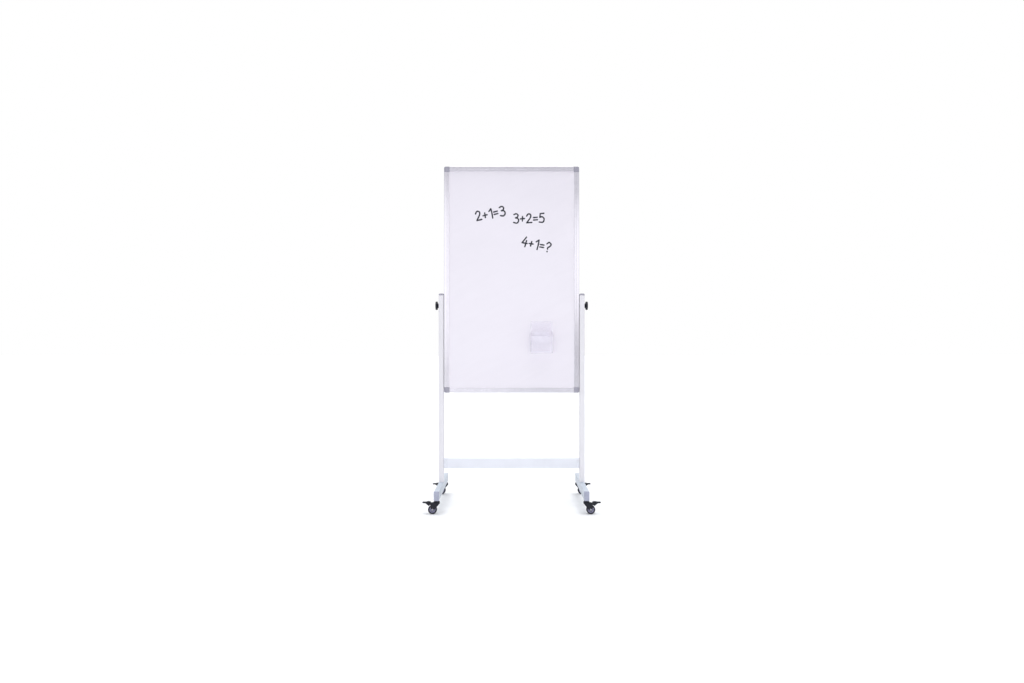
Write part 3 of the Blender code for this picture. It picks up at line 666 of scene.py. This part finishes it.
def make_holder():
    """The marker holder: a back plate and a pocket that widens upwards, with a rounded lip."""
    low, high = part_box("marker_holder")
    centre_x = (low.x + high.x) / 2
    centre_z = (low.z + high.z) / 2
    back = high.y
    outline = rounded_rectangle(PLATE_WIDTH, high.z - low.z, PLATE_CORNER)
    outline = [point + Vector((centre_x, centre_z)) for point in outline]
    plate = slab("plate", "Y", outline, back - HOLDER_WALL, back, PLATE_SOFT)

    sunk = 0.0001
    bottom = low.z + sunk
    lip = HOLDER_WALL / 2

    def ring(shrink, share, rise):
        """A ring round the pocket, a wall's share in, at a share of its height, raised a little."""
        width = HOLDER_WIDTHS[0] + share * (HOLDER_WIDTHS[1] - HOLDER_WIDTHS[0])
        depth = HOLDER_DEPTHS[0] + share * (HOLDER_DEPTHS[1] - HOLDER_DEPTHS[0]) - 2 * shrink
        points = []
        for x, y in rounded_rectangle(PLATE_WIDTH, depth, HOLDER_CORNER - shrink / 2):
            forward = 0.5 - y / depth
            flare = forward * (width - PLATE_WIDTH) / 2 - shrink
            rim = HOLDER_RIMS[0] + forward * (HOLDER_RIMS[1] - HOLDER_RIMS[0])
            height = bottom + share * (rim - lip - bottom) + rise
            outward = x + math.copysign(flare, x)
            inward = y - depth / 2 - shrink - sunk + 1.5 * sunk * shrink / HOLDER_WALL
            points.append(Vector((centre_x + outward, back + inward, height)))
        return points

    soft = HOLDER_SOFT
    lip_steps = 9
    rings = [ring(soft * (1 - math.sin(a)), 0, soft * (1 - math.cos(a))) for a in (0, 0.4, 0.8, 1.2)]
    rings += [ring(0, share, soft * (1 - share)) for share in (0.0, 0.25, 0.5, 0.75, 1.0)]
    for k in range(1, lip_steps):
        turn = math.pi * k / lip_steps
        rings.append(ring(lip * (1 - math.cos(turn)), 1, lip * math.sin(turn)))
    rings += [ring(HOLDER_WALL, share, HOLDER_WALL * (1 - share)) for share in (1.0, 0.66, 0.33, 0.0)]
    pocket = loft("pocket", rings)
    carve(plate, pocket, "UNION")
    stand_in(plate, "marker_holder")


# ---------------------------------------------------------------- pivot


def make_pivot(side, outward):
    """The pieces on one pivot bolt, in order from the board outwards."""
    centre = (0, 0, middle("pivot_bolt_" + side).z)

    def turned(node, profile, soft, hollow=True):
        """A turned piece, from a profile of (radius, distance out from the board's middle)."""
        profile = filleted(profile, soft, 3, closed=hollow)
        stations = [(r, outward * x) for r, x in profile]
        stand_in(spun(node, "X", centre, stations, MEDIUM, hollow), node + side)

    def ring(node, bore, radius, soft):
        start, end = span(node + side)
        turned(node, [(bore, start), (radius, start), (radius, end), (bore, end)], soft)
        return end

    ring("pivot_spacer_", BOLT_RADIUS + GAP, RING_RADIUS, 0.0002)
    ring("knob_washer_", RING_BORE, RING_RADIUS, 0.0003)
    insert_end = ring("knob_insert_", RING_BORE, INSERT_RADIUS, 0.0003)
    start, end = span("pivot_bolt_" + side)
    head = start + BOLT_HEAD_LENGTH
    bolt = [
        (BOLT_HEAD_FACE, start),
        (BOLT_HEAD_RADIUS, start),
        (BOLT_HEAD_RADIUS, head),
        (BOLT_RADIUS, head),
        (BOLT_RADIUS, end - BOLT_POINT),
        (BOLT_RADIUS - BOLT_POINT, end),
    ]
    turned("pivot_bolt_", bolt, 0.0003, hollow=False)
    make_knob(side, outward, centre, insert_end)


def make_knob(side, outward, centre, insert_end):
    """A knob with soft lobes, a dished cap and a bore for its threaded insert."""
    low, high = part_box("knob_" + side)
    start, end = span("knob_" + side)
    length = end - start
    body = (high.z - low.z) / 2 - KNOB_LOBE

    def lobed(share, lobes):
        """A radius that rises at each lobe, with one lobe straight up."""
        return lambda angle: body * share + KNOB_LOBE * lobes * math.cos(KNOB_LOBES * angle)

    soft = 0.0003
    stations = [(KNOB_BORE, insert_end + GAP), (KNOB_BORE, start + soft), (KNOB_BORE + soft, start)]
    # Share of the length, mean radius as a share of the body's, and share of the lobes' height
    outline = [
        (0.0, 0.55, 0.0),
        (0.015, 0.565, 0.0),
        (0.09, 0.585, 0.0),
        (0.14, 0.63, 0.05),
        (0.18, 0.715, 0.2),
        (0.22, 0.81, 0.42),
        (0.26, 0.895, 0.7),
        (0.30, 0.95, 0.88),
        (0.35, 0.985, 0.98),
        (0.42, 1.0, 1.0),
        (0.60, 1.0, 1.0),
        (0.78, 1.0, 1.0),
        (0.86, 0.985, 0.99),
        (0.915, 0.96, 0.95),
        (0.955, 0.92, 0.86),
        (0.98, 0.87, 0.72),
        (0.995, 0.81, 0.55),
        (1.0, 0.74, 0.35),
        (1.0, 0.64, 0.0),
        (0.99, 0.62, 0.0),
        (0.93, 0.595, 0.0),
        (0.915, 0.57, 0.0),
        (0.925, 0.35, 0.0),
        (0.935, 0.12, 0.0),
    ]
    stations += [(lobed(r, lobes), start + length * share) for share, r, lobes in outline]
    stations = [(r, outward * at) for r, at in stations]
    stand_in(spun("knob", "X", centre, stations, FINE), "knob_" + side)


# ---------------------------------------------------------------- stand


def box_tube(name, axis, width, height, start, end, centre):
    """A length of rectangular tube, open at both ends, with softened mouths."""
    outer = rounded_rectangle(width, height, TUBE_RADIUS)
    inner = rounded_rectangle(width - 2 * TUBE_WALL, height - 2 * TUBE_WALL, TUBE_RADIUS - TUBE_WALL)
    mouth = inset(outer, TUBE_SOFT)
    stations = [
        (mouth, start),
        (outer, start + TUBE_SOFT),
        (outer, end - TUBE_SOFT),
        (mouth, end),
        (inner, end),
        (inner, start),
    ]
    rings = [[p + Vector(centre) for p in along(axis, outline, at)] for outline, at in stations]
    return loft(name, rings, closed=True)


def capped(name, axis, centre, sizes):
    """Rounded rectangles joined along an axis, from (position, width, height, corner radius)."""
    rings = []
    for at, width, height, radius in sizes:
        ring = along(axis, rounded_rectangle(width, height, radius), at)
        rings.append([point + Vector(centre) for point in ring])
    return loft(name, rings)


def plug_section(width, height):
    """Width, height and corner radius of a plug that slides into a tube of that size."""
    inside = 2 * (TUBE_WALL + GAP)
    return width - inside, height - inside, TUBE_RADIUS - TUBE_WALL


def make_post(side):
    low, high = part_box("post_" + side)
    size = high - low
    x = (low.x + high.x) / 2
    post = box_tube("post", "Z", size.x, size.y, low.z, high.z, (x, 0, 0))
    drill(post, "X", (x, 0, middle("pivot_bolt_" + side).z), BOLT_RADIUS + 0.0001, size.x)
    stand_in(post, "post_" + side)

    low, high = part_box("post_cap_" + side)
    seat = high.z - DOME_HEIGHT
    plug = plug_section(size.x, size.y)
    soft = 0.0003
    sizes = [(low.z, *plug), (seat, *plug)]
    sizes.append((seat, size.x - 2 * soft, size.y - 2 * soft, TUBE_RADIUS))
    sizes.append((seat + soft, size.x, size.y, TUBE_RADIUS))
    straight = DOME_STRAIGHT * DOME_HEIGHT
    steps = 12
    for k in range(steps + 1):
        angle = math.pi / 2 * k / steps
        narrower = 1 - math.cos(angle)
        width = size.x - DOME_SHRINK[0] * narrower
        length = size.y - DOME_SHRINK[1] * narrower
        at = seat + straight + (DOME_HEIGHT - straight) * math.sin(angle)
        sizes.append((at, width, length, TUBE_RADIUS + 0.001 * narrower))
    stand_in(capped("cap", "Z", (x, 0, 0), sizes), "post_cap_" + side)


def make_foot(side):
    low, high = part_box("foot_" + side)
    size = high - low
    centre = (low + high) / 2
    foot = box_tube("foot", "Y", size.x, size.z, low.y, high.y, (centre.x, 0, centre.z))
    for place in PLACES:
        stem = middle(f"caster_{place}_{side}_stem")
        drill(foot, "Z", (stem.x, stem.y, low.z), BOLT_RADIUS + GAP, 2 * TUBE_WALL)
    stand_in(foot, "foot_" + side, FOOT_COAT_PAINTED_SHADE)

    plug = plug_section(size.x, size.z)
    steps = 5
    for place, outward in (("front", -1), ("rear", 1)):
        node = f"foot_end_cap_{side}_{place}"
        plug_end, end = span(node, "y")
        seat = end - CAP_THICKNESS
        sizes = [(plug_end, *plug), (seat, *plug), (seat, size.x, size.z, TUBE_RADIUS)]
        for k in range(steps + 1):
            angle = math.pi / 2 * k / steps
            shrink = 2 * CAP_SOFT * (1 - math.cos(angle))
            at = end - CAP_SOFT * (1 - math.sin(angle))
            sizes.append((at, size.x - shrink, size.z - shrink, TUBE_RADIUS))
        sizes = [(outward * at, w, h, r) for at, w, h, r in sizes]
        stand_in(capped("cap", "Y", (centre.x, 0, centre.z), sizes), node, FOOT_CAP_PAINTED_COOL_LIGHT)


def make_crossbar():
    low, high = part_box("crossbar")
    size = high - low
    centre = (low + high) / 2
    bar = box_tube("bar", "X", size.y, size.z, low.x, high.x, (0, 0, centre.z))
    stand_in(bar, "crossbar", CROSSBAR_COAT_PAINTED_LIGHT)
    plug = plug_section(size.y, size.z)
    soft = BRACKET_SOFT
    for side, outward in SIDES:
        node = "crossbar_bracket_" + side
        plug_end, end = span(node)
        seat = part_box("crossbar")[1].x + GAP
        narrow = (size.y - 2 * soft, size.z - 2 * soft, TUBE_RADIUS - soft)
        full = (size.y, size.z, TUBE_RADIUS)
        sizes = [(plug_end, *plug), (seat, *plug), (seat, *narrow), (seat + soft, *full)]
        sizes += [(end - soft, *full), (end, *narrow)]
        sizes = [(outward * at, w, h, r) for at, w, h, r in sizes]
        stand_in(capped("bracket", "X", (0, 0, centre.z), sizes), node)


# ---------------------------------------------------------------- casters


def caster_stem():
    """The stem with its rivet head, flange and hexagon nut."""
    flange = 0.0549
    nut_end = 0.0577
    apothem = 0.0064
    sixth = math.pi / 3

    def hexagon(angle):
        return apothem / math.cos((angle + sixth / 2) % sixth - sixth / 2)

    stations = [
        (0.0034, 0.0414),
        (0.0050, 0.0418),
        (0.0058, 0.0425),
        (0.0060, 0.0432),
        (0.0060, FORK_BASE - GAP),
        (0.0040, FORK_BASE - GAP),
        (0.0040, flange),
        (0.0087, flange),
        (0.0090, flange + 0.0003),
        (0.0090, flange + 0.0007),
        (0.0087, flange + 0.0010),
        (hexagon, flange + 0.0010),
        (hexagon, nut_end - 0.0003),
        (lambda angle: min(hexagon(angle), 0.0067), nut_end),
        (0.0040, nut_end),
        (0.0040, 0.0735),
        (0.0035, 0.0740),
    ]
    return spun("stem", "Z", (0, 0, 0), stations, FINE)


def leg_outline():
    """A fork leg from the side: a boss round the axle that widens up to the head."""
    boss = arc((CASTER_TRAIL, WHEEL_RADIUS), 0.0065, 190, 350, 20)
    x, z = BRAKE_PIVOT
    rest = [
        (x + 0.0045, z - 0.002),
        (x + 0.0045, z + 0.004),
        (x - 0.0015, 0.0475),
        (0.009, 0.0500),
        (-0.009, 0.0500),
        (-0.012, 0.0465),
        (-0.011, 0.0435),
    ]
    return filleted(boss + rest, [0] * len(boss) + [0.0025] * len(rest))


def caster_fork():
    """The swivel head with its bearing seam, the top plate and two legs, bored for stem, axle and pin."""
    head = [
        (0.0122, FORK_BASE, 0),
        (0.0130, FORK_BASE, 0.0007),
        (0.0130, 0.0478, 0.0003),
        (0.0123, 0.0482, 0.0002),
        (0.0123, 0.0488, 0.0002),
        (0.0130, 0.0492, 0.0003),
        (0.0130, 0.0520, 0.0015),
        (0.0106, 0.0546, 0.0015),
        (0.0060, 0.0546, 0),
    ]
    profile = filleted([(r, z) for r, z, _ in head], [soft for _, _, soft in head], 5, closed=False)
    fork = spun("fork", "Z", (0, 0, 0), [(r, z) for r, z in profile], FINE)
    half = FORK_INNER + FORK_LEG - 0.0001
    end = BRAKE_PIVOT[0] - 0.002
    corners = [Vector((end, -half)), Vector((end, half))]
    plate = arc((0, 0), half, 90, 270, 24) + corners
    plate = filleted(plate, [0] * 25 + [0.0006, 0.0006])
    low = FORK_BASE + 0.0001
    carve(fork, slab("plate", "Z", plate, low, low + FORK_PLATE, 0.0004), "UNION")
    for side in (-1, 1):
        faces = sorted((side * FORK_INNER, side * (FORK_INNER + FORK_LEG)))
        carve(fork, slab("leg", "Y", leg_outline(), *faces, 0.0005), "UNION")
    drill(fork, "Z", (0, 0, FORK_BASE), SHAFT_BORE, 0.02)
    drill(fork, "Y", (CASTER_TRAIL, 0, WHEEL_RADIUS), AXLE_RADIUS + GAP, 0.02)
    drill(fork, "Y", (BRAKE_PIVOT[0], 0, BRAKE_PIVOT[1]), BRAKE_PIN_RADIUS + 0.0001, 0.02)
    return fork


def caster_axle():
    """A rivet with a domed head on each side of the fork."""
    face = FORK_INNER + FORK_LEG + GAP
    head = [(0.0006, face + 0.0016), (0.0020, face + 0.00152), (0.0032, face + 0.00128)]
    head += [(0.0041, face + 0.00092), (0.0047, face + 0.00055), (0.0050, face + 0.0002)]
    head += [(0.0050, face), (AXLE_RADIUS, face)]
    stations = head + [(r, -y) for r, y in reversed(head)]
    return spun("axle", "Y", (CASTER_TRAIL, 0, WHEEL_RADIUS), stations, MEDIUM)


def caster_tyre():
    """A tyre with rounded shoulders and a fine moulding line round its tread."""
    side = [
        (RIM_RADIUS, 0.0074),
        (RIM_RADIUS + 0.0003, 0.0080),
        (0.0142, 0.00835),
        (0.0160, WHEEL_HALF),
        (0.0172, 0.00842),
        (0.0180, 0.0080),
        (0.0186, 0.0072),
        (0.0189, 0.0060),
        (0.01895, 0.0030),
        (0.01895, 0.0002),
        (WHEEL_RADIUS, 0.0001),
    ]
    stations = side + [(r, -y) for r, y in reversed(side)]
    return spun("tyre", "Y", (CASTER_TRAIL, 0, WHEEL_RADIUS), stations, FINE, hollow=True)


def caster_hub():
    """A hub whose dished web has ribs from its boss out to its rim."""
    sector = 2 * math.pi / HUB_RIBS
    rib_half = math.radians(7.6)

    def web(sign):
        def position(angle):
            off_rib = abs((angle + sector / 2) % sector - sector / 2) > rib_half
            return sign * (0.0046 if off_rib else 0.0066)

        return position

    def half(sign):
        return [
            (0.0031, sign * 0.0086),
            (0.0034, sign * 0.0089),
            (0.0055, sign * 0.0089),
            (0.0059, sign * 0.0086),
            (0.0062, sign * 0.0068),
            (0.0066, web(sign)),
            (0.0106, web(sign)),
            (0.0110, sign * 0.0068),
            (0.0113, sign * 0.0076),
            (0.0116, sign * 0.0078),
            (0.0124, sign * 0.0078),
            (RIM_RADIUS - GAP, sign * 0.0075),
        ]

    stations = half(1) + half(-1)[::-1]
    return spun("hub", "Y", (CASTER_TRAIL, 0, WHEEL_RADIUS), stations, FINE, hollow=True)


def caster_pedal():
    """The brake pedal: a shoe over the wheel, a hood, and a toe tab with grip grooves."""
    tip = 0.0605
    shoe = arc((CASTER_TRAIL, WHEEL_RADIUS), SHOE_RADIUS, 44, 90, 14)
    hood = [
        (CASTER_TRAIL, FORK_BASE - 0.0012),
        (BRAKE_PIVOT[0] - 0.001, FORK_BASE - 0.0010),
        (0.0240, 0.0480),
        (0.0285, 0.0530),
        (0.0370, 0.0536),
        (0.0460, 0.0514),
    ]
    grooves = []
    top = 0.0513
    floor = 0.0507
    for x in (0.0490, 0.0515, 0.0540, 0.0565):
        grooves += [(x - 0.0006, top), (x - 0.0003, floor), (x + 0.0003, floor), (x + 0.0006, top)]
    tab = [(tip - 0.0005, 0.0512), (tip, 0.0500), (tip, 0.0477), (tip - 0.0010, 0.0467)]
    under = [(0.0480, 0.0460), (0.0400, 0.0398)]
    radii = [0] * len(shoe) + [0.0002, 0.0008, 0.0030, 0.0030, 0.0040, 0.0030]
    radii += [0.0001] * len(grooves) + [0.0006] * 4 + [0.0040, 0.0008]
    outline = filleted(shoe + hood + grooves + tab + under, radii)
    pedal = slab("pedal", "Y", outline, -BRAKE_HALF_WIDTH, BRAKE_HALF_WIDTH, 0.0003)
    reach = FORK_INNER + FORK_LEG - GAP
    soft = 0.0003
    half = [(BRAKE_PIN_RADIUS, reach - soft), (BRAKE_PIN_RADIUS - soft, reach)]
    stations = [(r, -y) for r, y in reversed(half)] + half
    pin = spun("pin", "Y", (BRAKE_PIVOT[0], 0, BRAKE_PIVOT[1]), stations, MEDIUM)
    carve(pedal, pin, "UNION")
    return pedal


def make_casters():
    patterns = {
        "stem": caster_stem(),
        "fork": caster_fork(),
        "axle": caster_axle(),
        "tyre": caster_tyre(),
        "hub": caster_hub(),
        "brake_pedal": caster_pedal(),
    }
    for side, across in SIDES:
        for place in PLACES:
            name = f"caster_{place}_{side}"
            stem = middle(name + "_stem")
            turn = Matrix.Rotation(0 if across > 0 else math.pi, 4, "Z")
            corner = Matrix.Translation((stem.x, stem.y, 0)) @ turn
            for part, pattern in patterns.items():
                piece = pattern.copy()
                piece.data = pattern.data.copy()
                bpy.context.scene.collection.objects.link(piece)
                piece.data.transform(corner)
                stand_in(piece, f"{name}_{part}")
    for pattern in patterns.values():
        bpy.data.objects.remove(pattern, do_unlink=True)


# ---------------------------------------------------------------- marker writing

# Strokes of each sign, in a box one high. A stroke ends and the next begins at a sharp corner.
GLYPHS = {
    "1": [[(0.06, 0.76), (0.31, 1.0)], [(0.31, 1.0), (0.34, 0.5), (0.32, 0.0)]],
    "2": [
        [(0.04, 0.76), (0.22, 0.98), (0.46, 0.90), (0.44, 0.60), (0.05, 0.04)],
        [(0.05, 0.04), (0.58, 0.07)],
    ],
    "3": [
        [(0.06, 0.92), (0.32, 1.0), (0.50, 0.84), (0.42, 0.64), (0.22, 0.56)],
        [(0.22, 0.56), (0.48, 0.49), (0.56, 0.24), (0.36, 0.0), (0.02, 0.08)],
    ],
    "4": [
        [(0.34, 1.0), (0.02, 0.34)],
        [(0.02, 0.34), (0.56, 0.36)],
        [(0.42, 0.66), (0.41, 0.30), (0.39, -0.02)],
    ],
    "5": [
        [(0.50, 0.99), (0.12, 0.96)],
        [(0.12, 0.96), (0.08, 0.56)],
        [(0.08, 0.56), (0.34, 0.62), (0.53, 0.38), (0.40, 0.05), (0.02, 0.06)],
    ],
    "+": [[(0.0, 0.43), (0.42, 0.46)], [(0.22, 0.68), (0.20, 0.20)]],
    "=": [[(0.0, 0.58), (0.39, 0.61)], [(0.01, 0.32), (0.40, 0.35)]],
    "?": [
        [(0.06, 0.80), (0.26, 1.0), (0.50, 0.84), (0.42, 0.60), (0.24, 0.44), (0.25, 0.26)],
        [(0.25, 0.04), (0.26, 0.0)],
    ],
}
SIGN_SPACE = 0.20  # between signs, as a share of their height
# What is written, its lower left corner, its slope in degrees, and its signs' height
SUMS = [
    ("2+1=3", (-0.158, 1.271), 11.0, 0.043),
    ("3+2=5", (0.008, 1.262), 0.5, 0.042),
    ("4+1=?", (0.043, 1.160), -13.0, 0.043),
]
STROKE_WIDTH = 0.0064
STROKE_SWELL = 0.07  # how much a stroke's width swells and shrinks, as a share
INK_THICKNESS = 0.00012
INK_CLEARANCE = 0.00002  # between the ink and the writing surface
INK_LAYER = 0.00001  # how much thicker each stroke is than the one before it, where they cross


def curved(points, steps=8):
    """A smooth line through points."""
    line = [Vector(p) for p in (points[0], *points, points[-1])]
    smooth_line = []
    for a, b, c, d in zip(line, line[1:], line[2:], line[3:]):
        for k in range(steps):
            t = k / steps
            first = b * 2 + (c - a) * t
            second = (a * 2 - b * 5 + c * 4 - d) * t**2
            third = (b * 3 - a - c * 3 + d) * t**3
            smooth_line.append((first + second + third) / 2)
    smooth_line.append(line[-1])
    return smooth_line


def stroke(line, rng, face, thickness):
    """One stroke of ink, as wide as a bullet tip and round at both ends."""
    cleaned = [line[0]]
    for point in line[1:]:
        if (point - cleaned[-1]).length > STROKE_WIDTH / 8:
            cleaned.append(point)
    left = []
    right = []
    swell = rng.uniform(0, 6)
    for i, point in enumerate(cleaned):
        ahead = cleaned[min(i + 1, len(cleaned) - 1)] - cleaned[max(i - 1, 0)]
        normal = Vector((-ahead.y, ahead.x)).normalized()
        width = STROKE_WIDTH / 2 * (1 + STROKE_SWELL * math.sin(swell + 0.7 * i))
        left.append(point + normal * width)
        right.append(point - normal * width)

    def round_end(centre, first, last):
        """Points that turn about an end of the stroke, from one edge to the other."""
        radius = (first - centre).length
        start = math.degrees(math.atan2(first.y - centre.y, first.x - centre.x))
        return arc(centre, radius, start - 30, start - 150, 4)

    outline = left + round_end(cleaned[-1], left[-1], right[-1])
    outline += right[::-1] + round_end(cleaned[0], right[0], left[0])
    return loft("stroke", [along("Y", outline, face), along("Y", outline, face - thickness)])


def make_writing():
    rng = random.Random(7)
    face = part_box("writing_surface_front")[0].y - INK_CLEARANCE
    ink = marker_ink()
    for index, (text, corner, slope, height) in enumerate(SUMS):
        turn = Matrix.Rotation(math.radians(slope), 2)
        number = 0
        start = 0.0
        for sign in text:
            place = Vector((start, rng.uniform(-0.03, 0.03)))
            for points in GLYPHS[sign]:
                number += 1
                line = [Vector(corner) + turn @ ((point + place) * height) for point in curved(points)]
                piece = stroke(line, rng, face, INK_THICKNESS + number * INK_LAYER)
                piece.name = f"marker_sum_{index + 1}_stroke_{number}"
                piece.data.materials.append(ink)
                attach(piece, "board")
            start += max(x for points in GLYPHS[sign] for x, _ in points) + SIGN_SPACE


# ---------------------------------------------------------------- studio


def make_world():
    """White behind the board, dark and bluish at the sides, and light grey in front and above."""
    world = bpy.data.worlds.new("studio")
    bpy.context.scene.world = world
    world.use_nodes = True
    tree = world.node_tree
    direction = add_node(tree, "ShaderNodeTexCoord").outputs["Generated"]
    parts = add_node(tree, "ShaderNodeSeparateXYZ", {"Vector": direction})
    sockets = {"Value": parts.outputs["Y"], "From Min": -1.0, "From Max": 1.0}
    depth = add_node(tree, "ShaderNodeMapRange", sockets).outputs["Result"]
    front = (0.715, 0.72, 0.75)
    side = (0.18, 0.23, 0.30)
    white = (1.0, 1.0, 1.0)
    above = (0.60, 0.62, 0.66)
    level = ramp(tree, depth, [(0.0, front), (0.25, front), (0.45, side), (0.60, side), (0.88, white)])
    sockets = {"Value": parts.outputs["Z"], "From Min": 0.45, "From Max": 0.95}
    height = add_node(tree, "ShaderNodeMapRange", sockets).outputs["Result"]
    mix = add_node(tree, "ShaderNodeMix", data_type="RGBA")
    colour_factor, first_colour, second_colour = (mix.inputs[index] for index in (0, 6, 7))
    mixed_colour = mix.outputs[2]
    tree.links.new(height, colour_factor)
    tree.links.new(level, first_colour)
    second_colour.default_value = (*above, 1.0)
    tree.links.new(mixed_colour, tree.nodes["Background"].inputs["Color"])
    tree.nodes["Background"].inputs["Strength"].default_value = 1.0


def area_light(name, place, aim, size, power, colour=(1.0, 1.0, 1.0)):
    light = bpy.data.lights.new(name, "AREA")
    light.shape = "RECTANGLE"
    light.size, light.size_y = size
    light.energy = power
    light.color = colour
    obj = bpy.data.objects.new(name, light)
    obj.location = place
    obj.rotation_euler = (Vector(aim) - Vector(place)).to_track_quat("-Z", "Y").to_euler()
    bpy.context.scene.collection.objects.link(obj)


def make_lights():
    """Soft lights in front, which the frame mirrors unevenly, two from the sides and one from above."""
    for name, x, z, size, power in (
        ("soft_left", -0.85, 1.365, (1.7, 1.53), 5.7),
        ("soft_right", 0.85, 1.46, (1.7, 1.06), 4.0),
        ("soft_low_left", -0.70, 0.33, (1.3, 0.52), 0.5),
    ):
        area_light(name, (x, LIGHT_WALL, z), (x, 0, z), size, power)
    cool = (0.94, 0.98, 1.0)
    area_light("soft_low", (0, -1.7, 0.10), (0, 0, 0.10), (1.7, 0.13), 2.2, cool)
    for side in (-1, 1):
        area_light("soft_side", (1.95 * side, -3.8, 1.25), (0, 0, 1.0), (1.0, 1.7), 5.6)
    overhead = bpy.data.lights.new("overhead", "SUN")
    overhead.energy = 2.5
    overhead.angle = math.radians(50)
    obj = bpy.data.objects.new("overhead", overhead)
    bpy.context.scene.collection.objects.link(obj)


def make_floor():
    across = (-FLOOR_END, FLOOR_END)
    corners = [Vector((x, FLOOR_FRONT)) for x in across] + [Vector((x, FLOOR_END)) for x in across[::-1]]
    floor = slab("floor", "Z", corners, -FLOOR_THICKNESS, FLOOR_TOP, 0.001)
    floor.data.materials.append(pale_floor())


def make_camera():
    data = bpy.data.cameras.new("camera")
    data.sensor_width = CAMERA_SENSOR
    data.lens = CAMERA_LENS
    data.clip_end = CAMERA_REACH
    camera = bpy.data.objects.new("camera", data)
    camera.location = CAMERA_PLACE
    camera.rotation_euler = (math.pi / 2, 0, 0)
    bpy.context.scene.collection.objects.link(camera)
    bpy.context.scene.camera = camera


def main():
    make_camera()
    for node in ("board_core", "writing_surface_front", "writing_surface_back", "holder_magnet"):
        dress(node)
    make_rails()
    make_corner_caps()
    make_holder()
    for side, outward in SIDES:
        make_pivot(side, outward)
        make_post(side)
        make_foot(side)
    make_crossbar()
    make_casters()
    make_writing()
    make_world()
    make_lights()
    make_floor()
    view = bpy.context.scene.view_settings
    view.view_transform = "Standard"
    view.look = "None"


main()
